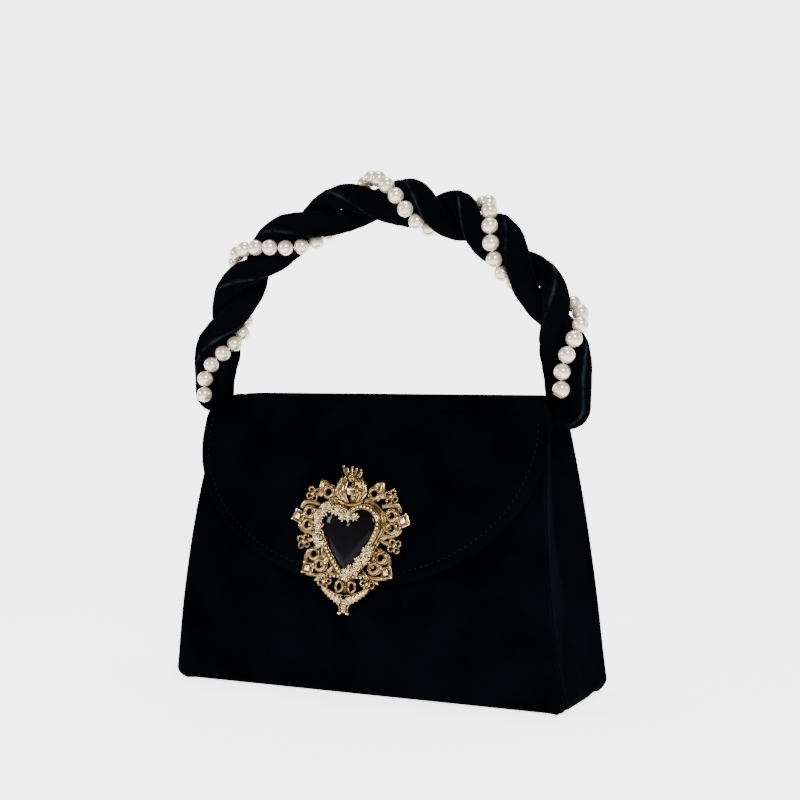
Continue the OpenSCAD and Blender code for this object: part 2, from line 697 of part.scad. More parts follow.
// The pearl string lies in front of the groove between the two tubes.
pearl_fine = 1.5;
pearl_start = 4;
pearl_end = arch_l - 7;
pearl_samples = [for (s = [pearl_start : pearl_fine : pearl_end]) s];
function string_at(s) =
    let (a = 360 * turns(s) + 90, r = pearl_r + string_slack * pow(max(cos(a), 0), 2))
        arch_at(s) + r * (cos(a) * arch_out(s) + sin(a) * [0, -1, 0]);
string_points = [for (s = pearl_samples) string_at(s)];
string_lengths = lengths(string_points);
string_l = string_lengths[len(string_lengths) - 1];
string_table = [for (i = [0 : len(pearl_samples) - 1]) [string_lengths[i], pearl_samples[i]]];
function along_string(d) = string_at(lookup(d, string_table));
pearl_count = floor(string_l / (pearl_d + 0.2));
pearl_gap = string_l / pearl_count;
pearl_hole = 0.7;

// Turns local +Z to a direction.
module facing(v) rotate([0, acos(v[2] / norm(v)), atan2(v[1], v[0])]) children();

module pearls() color("#efe6d2") for (i = [0 : pearl_count - 1]) {
    d = (i + 0.5) * pearl_gap;
    translate(along_string(d)) facing(along_string(d + 2) - along_string(d - 2))
        rotate_extrude($fn = 48) difference() {
            circle(d = pearl_d, $fn = 48);
            translate([pearl_hole - pearl_d, -pearl_d]) square([pearl_d, 2 * pearl_d]);
        }
}

thread_r = 0.28;
thread_sides = 6;
thread_steps = 2 * pearl_count;
function thread_ring(i) =
    let (
        d = string_l * i / thread_steps,
        t = unit(along_string(min(d + 1, string_l)) - along_string(max(d - 1, 0))),
        e1 = unit(cross(t, [0, 1, 0.3])),
        e2 = cross(t, e1)
    )
        ring_at(along_string(d), e1, e2, thread_r, thread_r, thread_sides);
module pearl_thread() color("#e8e0d0")
    skin([for (i = [0 : thread_steps]) reversed(thread_ring(i))]);

// Tape that cups the underside of each U-turn and is sewn in behind the gusset's velvet.
strap_w = 4;
strap_t = 0.7;
strap_gap = 0.1;
strap_in = bight_tube + 0.3;
loop_w = 3;
loop_sink = 0.3;
strap_angle = 135;
tail_x = 0.6 * strap_in;
tail_z = 0.85 * strap_in;
tail_l = 12.5;
function tail_face(z) = side_x(z) - pinch(z, 0.5) - velvet_t - strap_gap;
module strap(reach, turn_z) {
    x = reach + bight_r * cos(strap_angle);
    z = turn_z - bight_r * sin(strap_angle);
    difference() {
        union() {
            translate([x, 0, z]) rotate([0, strap_angle, 0]) rotate_extrude($fn = 64)
                translate([strap_in - loop_sink, -loop_w / 2]) square([strap_t + loop_sink, loop_w]);
            along_y(strap_w) polygon([
                for (level = [gusset_top - tail_l, gusset_top]) [tail_face(level), level],
                [x - tail_x, z - tail_z],
                [x - tail_x - strap_t, z - tail_z - 0.2],
                for (level = [gusset_top, gusset_top - tail_l]) [tail_face(level) - strap_t, level]
            ]);
        }
        translate([reach, 0, turn_z]) rotate([90, 0, 0]) {
            rotate_extrude($fn = 64) translate([bight_r, 0]) circle(strap_in, $fn = 48);
            cylinder(h = 40, r = bight_r, center = true, $fn = 64);
        }
    }
}
module handle_strap_right() color("#0c0c10") strap(arch_a + handle_shift, bight_z_right);
module handle_strap_left() color("#0c0c10") mirror([1, 0, 0]) strap(arch_a - handle_shift, bight_z_left);

back_panel();
back_board();
back_lining();
base_panel();
base_board();
base_lining();
gusset_left();
gusset_right();
gusset_lining_left();
gusset_lining_right();
slip_pocket();
pocket_binding();
handle_strap_left();
handle_strap_right();
front_panel();
front_board();
front_lining();
snap_socket();
snap_magnet();
socket_washer();
bridge_panel();
bridge_lining();
flap_panel();
flap_board();
flap_lining();
flap_stitching();
snap_stud();
stud_washer();
brooch_plate();
brooch_posts();
post_nuts();
heart_bezel();
heart_stone();
bezel_beads();
flame_crest();
flower_spray_upper();
flower_spray_lower();
corner_studs();
brooch_pendant();
tube_a_sleeve();
tube_b_sleeve();
tube_a_core();
tube_b_core();
pearls();
pearl_thread();
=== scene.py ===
"""Looks of the evening bag: velvet shell, folded flap, twisted padded handle, pearls and heart brooch."""
import json
from math import acos, atan, ceil, cos, exp, hypot, pi, radians, sin, sqrt

import bpy
import numpy as np
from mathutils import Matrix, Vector, noise


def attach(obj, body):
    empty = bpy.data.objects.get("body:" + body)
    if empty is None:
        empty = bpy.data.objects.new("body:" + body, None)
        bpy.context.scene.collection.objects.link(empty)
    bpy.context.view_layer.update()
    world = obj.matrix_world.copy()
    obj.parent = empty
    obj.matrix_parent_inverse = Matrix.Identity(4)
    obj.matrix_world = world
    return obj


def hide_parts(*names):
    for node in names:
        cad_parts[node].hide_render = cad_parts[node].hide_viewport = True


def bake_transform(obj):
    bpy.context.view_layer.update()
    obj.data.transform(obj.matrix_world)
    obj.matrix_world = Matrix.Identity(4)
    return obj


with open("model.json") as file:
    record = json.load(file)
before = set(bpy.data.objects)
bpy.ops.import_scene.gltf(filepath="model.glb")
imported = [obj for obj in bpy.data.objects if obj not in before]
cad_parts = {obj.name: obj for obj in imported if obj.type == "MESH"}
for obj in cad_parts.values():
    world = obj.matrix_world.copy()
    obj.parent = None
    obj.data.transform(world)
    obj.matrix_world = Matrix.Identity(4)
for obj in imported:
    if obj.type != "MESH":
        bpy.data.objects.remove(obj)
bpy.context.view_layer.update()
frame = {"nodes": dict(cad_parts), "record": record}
nodes = frame["nodes"]
MM = 0.001


def around(count):
    """Angles of one full turn."""
    return np.linspace(0, 2 * pi, count, endpoint=False)


def arc(first, last, count):
    """Angles between two that are given in degrees."""
    return np.radians(np.linspace(first, last, count))


def unit(vectors):
    return vectors / np.linalg.norm(vectors, axis=-1, keepdims=True)


def run_length(path):
    """Distance along a path at each of its points."""
    return np.concatenate([[0], np.cumsum(np.linalg.norm(np.diff(path, axis=0), axis=1))])


def ease(t):
    """Smooth step from 0 to 1."""
    t = min(max(t, 0.0), 1.0)
    return t * t * (3 - 2 * t)


def smooth_noise(p, scale, seed=0.0):
    return noise.noise(Vector((p[0] * scale + seed, p[1] * scale + seed * 1.7, p[2] * scale - seed)))


def new_object(name, data):
    obj = bpy.data.objects.new(name, data)
    bpy.context.scene.collection.objects.link(obj)
    return obj


# ---- camera: places in millimetres, the lens for a 36 mm sensor ----

CAM_AZ, CAM_PITCH, CAM_DIST = radians(25.0), radians(1.352), 745.24
CAM_TARGET = Vector((6.97, 0.0, 142.13))
camera_data = bpy.data.cameras.new("camera")
camera_data.sensor_width = 36.0
camera_data.lens = 67.58415
camera = new_object("camera", camera_data)
to_camera = Vector((
    sin(CAM_AZ) * cos(CAM_PITCH),
    -cos(CAM_AZ) * cos(CAM_PITCH),
    sin(CAM_PITCH),
))
camera.location = (CAM_TARGET + to_camera * CAM_DIST) * MM
camera.rotation_euler = to_camera.to_track_quat("Z", "Y").to_euler()
bpy.context.scene.camera = camera

# ---- materials ----


def feed(tree, node, inputs):
    """Links sockets to a node's inputs and sets constants on the inputs themselves."""
    for key, value in inputs.items():
        if isinstance(value, bpy.types.NodeSocket):
            tree.links.new(value, node.inputs[key])
        else:
            node.inputs[key].default_value = value


def add(tree, kind, inputs=None, **values):
    node = tree.nodes.new(kind)
    for key, value in values.items():
        setattr(node, key, value)
    feed(tree, node, inputs or {})
    return node


def new_material(name):
    """A material with one shader, and its object coordinates."""
    material = bpy.data.materials.new(name)
    material.use_nodes = True
    tree = material.node_tree
    tree.nodes.clear()
    shader = add(tree, "ShaderNodeBsdfPrincipled")
    add(tree, "ShaderNodeOutputMaterial", {"Surface": shader.outputs[0]})
    return material, tree, shader, add(tree, "ShaderNodeTexCoord").outputs["Object"]


def ramp(tree, source, stops):
    node = add(tree, "ShaderNodeValToRGB", {"Fac": source})
    elements = node.color_ramp.elements
    while len(elements) < len(stops):
        elements.new(0.5)
    for element, (place, colour) in zip(elements, stops):
        element.position = place
        element.color = (*colour, 1.0)
    return node.outputs["Color"]


def remap(tree, value, low, high, start=0.0, end=1.0, **options):
    inputs = {"Value": value, "From Min": start, "From Max": end, "To Min": low, "To Max": high}
    return add(tree, "ShaderNodeMapRange", inputs, **options).outputs[0]


def times(tree, a, b):
    return add(tree, "ShaderNodeMath", {0: a, 1: b}, operation="MULTIPLY").outputs[0]


def noise_at(tree, coord, scale, detail=3.0, rough=0.5):
    inputs = {"Vector": coord, "Scale": scale, "Detail": detail, "Roughness": rough}
    return add(tree, "ShaderNodeTexNoise", inputs).outputs["Fac"]


def bump(tree, height, distance, strength=1.0, normal=None):
    inputs = {"Height": height, "Distance": distance, "Strength": strength}
    if normal is not None:
        inputs["Normal"] = normal
    return add(tree, "ShaderNodeBump", inputs).outputs[0]


# Pale bluish colour of the painted sheen streak along the rope's seams.
SEAM_SHEEN_COLOUR = (0.013, 0.0175, 0.021, 1)


def velvet_material(name, dark, light, sheen, tint):
    """Dense pile: fine bump, broad patches of nap tone whose lighter end is painted sheen, a faint sheen,
    broken painted sheen streaks along the seams.
    """
    material, tree, shader, coord = new_material(name)
    patch = noise_at(tree, coord, 38.0, 4.0, 0.55)
    pile = noise_at(tree, coord, 2600.0, 2.0, 0.6)
    # Patches of nap tone; their lighter, bluer end is painted sheen, and they follow the same noises as the
    # bump.
    nap_tone_and_sheen = ramp(tree, times(tree, patch, pile), [(0.12, dark), (0.42, light)])
    # Painted sheen: a weight stored on the rope tubes lightens the colour toward that streak along each seam,
    # broken up by noise.
    seam_sheen = add(tree, "ShaderNodeAttribute", attribute_name="seam_sheen").outputs["Fac"]
    broken = remap(tree, noise_at(tree, coord, 130.0, 4.0, 0.65), 0.06, 1.0, 0.42, 0.66)
    mixed = {"Factor": times(tree, seam_sheen, broken), "A": nap_tone_and_sheen, "B": SEAM_SHEEN_COLOUR}
    feed(tree, shader, {
        "Base Color": add(tree, "ShaderNodeMix", mixed, data_type="RGBA").outputs["Result"],
        "Roughness": remap(tree, patch, 0.78, 0.95),
        "Specular IOR Level": 0.0,
        "Sheen Weight": sheen,
        "Sheen Roughness": 0.3,
        "Sheen Tint": (*tint, 1),
        "Normal": bump(tree, pile, 0.00025, 0.8, bump(tree, patch, 0.0006, 0.35)),
    })
    return material


def satin_material(name, dark, light):
    """Thin shiny lining: long soft wrinkles with painted shade in their hollows, over a fine diagonal weave.
    """
    material, tree, shader, coord = new_material(name)
    drawn = add(tree, "ShaderNodeMapping", {"Vector": coord, "Scale": (1.0, 1.0, 0.35)}).outputs[0]
    wrinkle = noise_at(tree, drawn, 26.0)
    weave = add(tree, "ShaderNodeTexWave", {"Vector": coord, "Scale": 900.0, "Distortion": 0.6},
                bands_direction="DIAGONAL").outputs["Fac"]
    feed(tree, shader, {
        # Painted shade and highlight: the colour follows the wrinkles' height, darker in their hollows and
        # lighter on their crests.
        "Base Color": ramp(tree, wrinkle, [(0.3, dark), (0.75, light)]),
        "Roughness": remap(tree, weave, 0.42, 0.56),
        "Sheen Weight": 0.015,
        "Specular IOR Level": 0.045,
        "Anisotropic": 0.5,
        "Normal": bump(tree, weave, 0.00006, 0.5, bump(tree, wrinkle, 0.0012, 0.7)),
    })
    return material


def metal_material(name, deep, colour, high, rough, grain):
    """Plated casting: patina and painted shade in the hollows, worn edges lightened further as a painted
    highlight, fine pitting.
    """
    material, tree, shader, coord = new_material(name)
    point = add(tree, "ShaderNodeNewGeometry").outputs["Pointiness"]
    cloud = noise_at(tree, coord, 420.0, 4.0, 0.6)
    level = add(tree, "ShaderNodeMath", {0: point, 1: times(tree, cloud, 0.16)}, operation="ADD").outputs[0]
    feed(tree, shader, {
        # Darkest in the hollows (patina and painted shade), lightest on sharp edges (wear and painted
        # highlight).
        "Base Color": ramp(tree, level, [(0.47, deep), (0.555, colour), (0.66, high)]),
        "Metallic": 1.0,
        "Roughness": remap(tree, cloud, *rough),
        "Normal": bump(tree, noise_at(tree, coord, grain, 3.0, 0.6), 0.00012, 0.35),
    })
    return material


def plain_material(name, low, high, scale, roughness, depth, **constants):
    """One hard or woven material with its own mottling and bump."""
    material, tree, shader, coord = new_material(name)
    cloud = noise_at(tree, coord, scale, 4.0, 0.55)
    feed(tree, shader, {
        "Base Color": ramp(tree, cloud, [(0.3, low), (0.7, high)]),
        "Roughness": remap(tree, cloud, roughness * 0.85, min(1.0, roughness * 1.15)),
        **{key.replace("_", " "): value for key, value in constants.items()},
    })
    if depth:
        fine = noise_at(tree, coord, scale * 6, 3.0, 0.6)
        feed(tree, shader, {"Normal": bump(tree, fine, depth, 0.5)})
    return material


# The lighter, bluer colour of each velvet is painted sheen, laid in noise patches.
velvet = velvet_material(
    "velvet", (0.0003, 0.0003, 0.0005), (0.0011, 0.0013, 0.0023), 0.007, (0.5, 0.6, 0.85))
rope_velvet = velvet_material(
    "rope_velvet", (0.0004, 0.0004, 0.0006), (0.0014, 0.0018, 0.0026), 0.011, (0.5, 0.62, 0.8))
satin = satin_material("satin", (0.002, 0.002, 0.003), (0.007, 0.007, 0.010))
gold = metal_material(
    "gold", (0.022, 0.01, 0.003), (0.40, 0.27, 0.115), (0.98, 0.84, 0.56), (0.1, 0.24), 2600.0)
bright_gold = metal_material(
    "bright_gold", (0.05, 0.03, 0.012), (0.62, 0.48, 0.27), (1.0, 0.92, 0.74), (0.08, 0.2), 2600.0)
brushed_gold = metal_material(
    "brushed_gold", (0.03, 0.016, 0.006), (0.26, 0.17, 0.07), (0.5, 0.37, 0.18), (0.34, 0.5), 900.0)
steel = metal_material(
    "steel", (0.08, 0.08, 0.085), (0.24, 0.24, 0.25), (0.42, 0.42, 0.43), (0.25, 0.4), 1500.0)
enamel = plain_material(
    "enamel", (0.0012, 0.0012, 0.0015), (0.0024, 0.0024, 0.003), 60.0, 0.05, 0.0, Specular_IOR_Level=0.05)
pearl = plain_material(
    "pearl", (0.56, 0.475, 0.33), (0.70, 0.62, 0.46), 90.0, 0.24, 0.00002, Metallic=0.55, Coat_Weight=1.0,
    Coat_Roughness=0.06, Sheen_Weight=0.1, Specular_IOR_Level=0.8)
board = plain_material("board", (0.006, 0.006, 0.007), (0.016, 0.015, 0.016), 220.0, 0.9, 0.0002)
thread = plain_material(
    "thread", (0.002, 0.002, 0.003), (0.006, 0.006, 0.008), 1800.0, 0.7, 0.00005, Sheen_Weight=0.02,
    Specular_IOR_Level=0.08)
pale_thread = plain_material("pale_thread", (0.62, 0.58, 0.5), (0.8, 0.76, 0.68), 1500.0, 0.6, 0.00004)
filling = plain_material(
    "filling", (0.004, 0.004, 0.005), (0.01, 0.01, 0.012), 400.0, 0.95, 0.0003, Specular_IOR_Level=0.0)
MATERIALS = {"velvet": velvet, "board": board, "satin": satin, "gold": gold, "steel": steel,
             "enamel": enamel, "pearl": pearl, "thread": thread, "filling": filling}
SLOTS = {material: slot for slot, material in MATERIALS.items()}
SLOTS.update({rope_velvet: "velvet", bright_gold: "gold", pale_thread: "thread"})

for row in frame["record"]["subparts"]:
    name = row["node"]
    looks = brushed_gold if name.startswith("snap_s") else MATERIALS[row["material_slot"]]
    nodes[name].data.materials.clear()
    nodes[name].data.materials.append(looks)

# ---- making pieces ----


def mesh_object(name, points, faces):
    """A smooth-shaded mesh; its points are in millimetres."""
    mesh = bpy.data.meshes.new(name)
    mesh.from_pydata([tuple(p) for p in np.asarray(points, float) * MM], [], [list(f) for f in faces])
    mesh.validate()
    mesh.polygons.foreach_set("use_smooth", [True] * len(mesh.polygons))
    mesh.update()
    return new_object(name, mesh)


def finish_piece(obj, material, moves, *replaced):
    """moves is one body, to which the piece is attached; anything else, such as two bodies and two points,
    leaves the piece fixed where it stands.
    """
    obj.data.materials.clear()
    obj.data.materials.append(material)
    if isinstance(moves, str):
        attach(obj, moves)
    else:
        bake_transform(obj)
    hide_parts(*replaced)
    return obj


def apply_modifiers(obj):
    depsgraph = bpy.context.evaluated_depsgraph_get()
    mesh = bpy.data.meshes.new_from_object(obj.evaluated_get(depsgraph))
    obj.modifiers.clear()
    obj.data = mesh
    return obj


def thicken(obj, depth, even=True):
    """Gives a sheet its thickness, inwards from its outer face."""
    solid = obj.modifiers.new("thickness", "SOLIDIFY")
    solid.thickness = depth * MM
    solid.offset = -1.0
    solid.use_even_offset = even
    return apply_modifiers(obj)


def weld(obj):
    """Joins points that fall together, such as those of a line drawn in to the middle."""
    merge = obj.modifiers.new("weld", "WELD")
    merge.merge_threshold = 0.02 * MM
    return apply_modifiers(obj)


def grid_faces(rows, cols, close_rows=False, close_cols=False, start=0):
    faces = []
    for j in range(rows if close_rows else rows - 1):
        for i in range(cols if close_cols else cols - 1):
            a, b = start + j * cols + i, start + j * cols + (i + 1) % cols
            c = start + ((j + 1) % rows) * cols + (i + 1) % cols
            d = start + ((j + 1) % rows) * cols + i
            faces.append((a, b, c, d))
    return faces


def declare_sheet(rows):
    """Takes a sheet's grid of points and scales it to metres, but keeps nothing."""
    rows = rows * MM


def sheet_piece(name, rows, flip, depth, material, moves, replaced, backing=None):
    """A sheet from its grid of points, with its thickness; backing names what it is stretched over."""
    rows = np.array(rows)
    faces = grid_faces(*rows.shape[:2])
    piece = mesh_object(name, rows.reshape(-1, 3), [f[::-1] for f in faces] if flip else faces)
    thicken(piece, depth)
    finish_piece(piece, material, moves, *replaced)
    if backing:
        declare_sheet(rows)
    return piece


class Solid:
    """Collects many small forms into one mesh."""

    def __init__(self):
        self.points, self.faces = [], []

    def grid(self, points, close_rows=False, caps=False):
        """Rings of points, one row each, with flat ends if caps is set."""
        points = np.asarray(points, float)
        rows, cols = points.shape[:2]
        start = len(self.points)
        self.points.extend(points.reshape(-1, 3))
        self.faces.extend(grid_faces(rows, cols, close_rows, True, start))
        if caps:
            self.faces.append(tuple(start + i for i in range(cols))[::-1])
            self.faces.append(tuple(start + (rows - 1) * cols + i for i in range(cols)))

    def ball(self, centre, radii, axes=None, rows=8, cols=12):
        axes = np.eye(3) if axes is None else np.asarray(axes, float)
        phi, theta = np.linspace(0, pi, rows + 1)[:, None], around(cols)[None, :]
        ball = np.stack([np.sin(phi) * np.cos(theta), np.sin(phi) * np.sin(theta),
                         np.cos(phi) * np.ones_like(theta)], -1)
        self.grid((ball * np.asarray(radii)) @ axes + np.asarray(centre))

    def tube(self, path, radius, sides=10, flat=1.0, up=(0.0, 0.0, 1.0), closed=False):
        """A swept wire, round or flattened across up; its radius may vary along the path."""
        path = np.asarray(path, float)
        radius = np.broadcast_to(np.asarray(radius, float), len(path))
        step = np.roll(path, -1, 0) - np.roll(path, 1, 0) if closed else np.gradient(path, axis=0)
        rings = []
        for p, t, r in zip(path, unit(step), radius):
            side = np.cross(t, up)
            side /= max(np.linalg.norm(side), 1e-9)
            top = np.cross(side, t)
            rings.append([p + r * (cos(a) * side + flat * sin(a) * top) for a in around(sides)])
        self.grid(rings, closed, not closed)

    def ring(self, u, v, w, radii, thick, sides=8, flat=1.0, turn=0.0, count=28):
        """A wire ring or oval at height w, turned in its own plane."""
        a = around(count)
        x, y = radii[0] * np.cos(a), radii[1] * np.sin(a)
        path = np.stack([u + x * cos(turn) - y * sin(turn),
                         v + x * sin(turn) + y * cos(turn), np.full(count, w)], 1)
        self.tube(path, thick, sides, flat, closed=True)

    def make(self, name, place=None):
        points = np.array(self.points)
        return mesh_object(name, place(points) if place else points, self.faces)


# ---- the shell's form, as the frame has it, in millimetres ----

SIDES = ((1, "right"), (-1, "left"))
BASE_HALF, TAPER, BODY_H = 105.0, 17.0, 145.0
# Half depth at the fullest height, that height, and how fast the wall draws in away from it.
BELLY, BELLY_Z, FALL = 34.2, 38.0, 0.0020526
# Radius of the foot's round edge and where its centre lies.
FOOT_R, FOOT_Y, FOOT_X = 6.0, 26.098, 97.44
BRIDGE_HALF = 79.5
WALL_TOP = 135.0
# Turned-in hem at a wall's mouth, as (set back, drop) from its edge.
HEM = [(0.45, -0.9), (1.4, -1.5), (2.6, -1.1), (3.5, 0.2), (3.9, 2.0), (3.9, 8.0), (3.9, 9.0)]


def half_width(z):
    return BASE_HALF - TAPER * (np.maximum(z, 0) / BODY_H) ** 0.75


def half_depth(z):
    return BELLY - FALL * (z - BELLY_Z) ** 2


def wall_slope(depth, z):
    """Angle of the wall's outward normal above level; round the foot it turns down."""
    if z > FOOT_R:
        return atan(2 * FALL * (z - BELLY_Z))
    return -acos(min(max((depth - FOOT_Y) / FOOT_R, 0), 1))


def wall_profile(top, levels):
    """(half width, half depth, z) up the wall from its foot."""
    foot = [(sin(a), 1 - cos(a)) for a in arc(6, 90, 9)]
    profile = [(FOOT_X + FOOT_R * s, FOOT_Y + FOOT_R * s, FOOT_R * lift) for s, lift in foot]
    for z in np.linspace(FOOT_R, top, levels)[1:]:
        profile.append((half_width(z), half_depth(z), z))
    return profile


EDGE_STEPS = [0.0, 0.25, 0.6, 1.0, 1.5, 2.1, 2.8, 3.7, 5.0, 7.0]
RIDGE_IN = 0.9


def seam_rise(d):
    """Height of a turned seam's ridge at a distance from the edge."""
    if d < RIDGE_IN:
        return -1.1 + 1.75 * sin(d / RIDGE_IN * pi / 2)
    return 0.65 * exp(-((d - RIDGE_IN) / 1.5) ** 2)


def columns(width):
    """Places across a panel, close together at its edges, with their distance from the edge."""
    edge = [(-(width - d), d) for d in EDGE_STEPS]
    mid = [(x, width - abs(x)) for x in np.linspace(-(width - 9.5), width - 9.5, 26)]
    return edge + mid + [(-x, d) for x, d in reversed(edge)]


def panel_puff(x, z, width):
    """Light crown of the wadding, with slight unevenness."""
    crown = 0.5 * (1 - (x / width) ** 4) * sin(pi * min(max(z / 138.0, 0), 1)) ** 0.6
    return crown + 0.25 * smooth_noise((x, 0, z), 0.03, 3.0)


def wall_sheet(sign, hem):
    """The front (-1) or back (+1) velvet panel as a grid of points, foot first."""
    rows = []
    profile = wall_profile(WALL_TOP, 44)
    for w, depth, z in profile:
        slope = wall_slope(depth, z)
        row = []
        for x, d in columns(w):
            rise = seam_rise(d) + panel_puff(x, z, w) * min(1.0, z / 20.0)
            row.append((x, sign * (depth + rise * cos(slope)), max(z + rise * sin(slope), 0.05)))
        rows.append(row)
    w, depth, z = profile[-1]
    for setback, drop in hem:
        y = depth + 0.3 - setback + 2 * FALL * (z - BELLY_Z) * max(drop, 0.0)
        rows.append([(x * (1 - 0.004 * setback), sign * y, z - drop) for x, d in columns(w)])
    return rows


sheet_piece("front_velvet", wall_sheet(-1, HEM), True, -0.8, velvet, "front", ["front_panel"], "front_board")

# The back panel carries on over the top to the middle of the bridge.
BRIDGE_MID = -3.2
SHOULDER_LOW, SHOULDER_H = 130.4, 8.6
TOP_LIFT = -0.8
BACK_ROLL_Y, BACK_ROLL_R = 11.0, 4.2
BACK_ROLL_Z = BODY_H + TOP_LIFT - BACK_ROLL_R


def shoulder(z):
    """Share of the way from the wall's width to the strip's at a height."""
    return ease((z - SHOULDER_LOW) / SHOULDER_H)


def back_width(z):
    return half_width(z) - (half_width(z) - BRIDGE_HALF) * shoulder(z)


def strip_edge(d):
    """Drop of the strip's rolled side edge at a distance from it."""
    return 1.5 * (1 - sqrt(max(0.0, 1 - (1 - min(d, 1.6) / 1.6) ** 2)))


def back_sheet():
    """Back velvet: the wall, its sloping shoulders, the roll over the back hinge, then half of the strip."""
    rows = [row for row in wall_sheet(1, []) if row[len(row) // 2][2] < SHOULDER_LOW - 1.0]
    path = [(half_depth(z) + 0.1, z, (1.0, 0.0)) for z in np.linspace(SHOULDER_LOW, BACK_ROLL_Z, 20)]
    reach = path[-1][0] - BACK_ROLL_Y
    for a in arc(10, 90, 10):
        c, sn = cos(a), sin(a)
        path.append((BACK_ROLL_Y + reach * c, BACK_ROLL_Z + BACK_ROLL_R * sn, (c, sn)))
    for y in np.linspace(BACK_ROLL_Y - 1.0, BRIDGE_MID, 12):
        path.append((y, BODY_H + TOP_LIFT, (0.0, 1.0)))
    for y, z, (ny, nz) in path:
        share, wide = shoulder(z), back_width(min(z, BACK_ROLL_Z))
        row = []
        for x, d in columns(wide):
            rise = (1 - share) * (seam_rise(d) + panel_puff(x, z, wide)) - share * strip_edge(d)
            row.append((x, y + ny * rise, z + nz * rise))
        rows.append(row)
    return rows


BACK_BEND = ("body", "bridge", (0, 0.0148, 0.1395), (0, 0.0070, 0.1450))
sheet_piece("back_velvet", back_sheet(), False, 0.8, velvet, BACK_BEND, ["back_panel"], "back_board")

# ---- gussets ----

GUSSET_BEND = ("body", "front", (0, 0.010, 0.06), (0, -0.024, 0.06))
# Distances of a gusset's closest columns from its edge, and its top hem as (set in, drop).
GUSSET_EDGE = [0.0, 0.3, 0.7, 1.2, 1.8, 2.5, 3.4, 4.6]
GUSSET_HEM = [(0.5, -0.7), (1.5, -1.1), (2.5, -0.8), (3.1, 0.2), (3.3, 1.8), (3.3, 6.0)]


def pinch_depth(z):
    """How far the middle of a gusset is drawn in at a height."""
    return 5.0 * ease((z - 6) / 55) * (1 - 0.4 * ease((z - 90) / 40))


def pinch(z, t):
    return pinch_depth(z) * sin(pi * t) ** 1.3


def gusset_sheet(side):
    levels = [(FOOT_X + FOOT_R * sin(a), FOOT_R - FOOT_R * cos(a)) for a in arc(10, 90, 8)]
    levels += [(half_width(z), z) for z in np.linspace(FOOT_R, 127.6, 44)[1:]]
    rows = []
    for wide, z in levels:
        foot = sqrt(max(0.0, FOOT_R ** 2 - (FOOT_R - min(z, FOOT_R)) ** 2))
        depth = (FOOT_Y + foot if z < FOOT_R else half_depth(z)) - 0.9
        middle = np.linspace(-(depth - 6.5), depth - 6.5, 17)
        spots = [*(d - depth for d in GUSSET_EDGE), *middle, *(depth - d for d in reversed(GUSSET_EDGE))]
        row = []
        for y in spots:
            t = (y + depth) / (2 * depth)
            d = depth - abs(y)
            rise = -0.9 + 1.5 * ease(d / 1.1) if d < 1.1 else 0.6 * exp(-((d - 1.1) / 1.6) ** 2)
            crease = 0.9 * exp(-((y - 1.5 * sin(z / 21.0)) / 2.6) ** 2) * ease((z - 20) / 50)
            soft = 0.55 * smooth_noise((side * 40, y, z), 0.045, 11.0) * sin(pi * t)
            row.append((side * (wide - pinch(z, t) + rise - crease + soft), y, z))
        rows.append(row)
    top = rows[-1]
    for setback, drop in GUSSET_HEM:
        rows.append([(x - side * setback, y * (1 - 0.03 * setback), z - drop) for x, y, z in top])
    return rows


for side, tag in SIDES:
    sheet_piece(f"gusset_velvet_{tag}", gusset_sheet(side), side < 0, 0.8, velvet, GUSSET_BEND,
                [f"gusset_{tag}"], f"gusset_lining_{tag}")

# ---- flap: one sheet from the bridge's middle, over the fold and down the front ----

FLAP_A, FLAP_WIDE_Z, FLAP_LOW = 92.4, 126.0, 55.0
SHOULDER_R = FLAP_A - BRIDGE_HALF
PROUD, ROLL = 6.0, 4.0
FOLD_TOP_Z = BODY_H + TOP_LIFT
FOLD_BEND = ("bridge", "flap", (0, -0.0135, 0.1455), (0, -0.0195, 0.1400))


def flap_face(z):
    return half_depth(z) + PROUD


FACE_START_Z = FOLD_TOP_Z - ROLL
ROLL_CENTRE_Y = -(flap_face(FACE_START_Z) - ROLL)
FLAT_L = abs(ROLL_CENTRE_Y - BRIDGE_MID)
ARC_L = ROLL * pi / 2


def sheet_point(t):
    """(y, z) and outward normal along the sheet; t runs from the bridge's middle."""
    if t < FLAT_L:
        return (BRIDGE_MID - t, FOLD_TOP_Z), (0.0, 1.0)
    if t < FLAT_L + ARC_L:
        a = (t - FLAT_L) / ROLL
        c, sn = cos(a), sin(a)
        return (ROLL_CENTRE_Y - ROLL * sn, FOLD_TOP_Z - ROLL + ROLL * c), (-sn, c)
    z = FACE_START_Z - (t - FLAT_L - ARC_L)
    slope = 2 * FALL * (z - BELLY_Z)
    n = hypot(1, slope)
    return (-flap_face(z), z), (-1 / n, slope / n)


def t_of_z(z):
    """Sheet distance of a height in front view; the shoulders start on the roll."""
    if z < FACE_START_Z:
        return FLAT_L + ARC_L + FACE_START_Z - z
    drop = min(1.0, (FOLD_TOP_Z - z) / ROLL)
    return FLAT_L + ROLL * acos(max(-1.0, min(1.0, 1 - drop)))


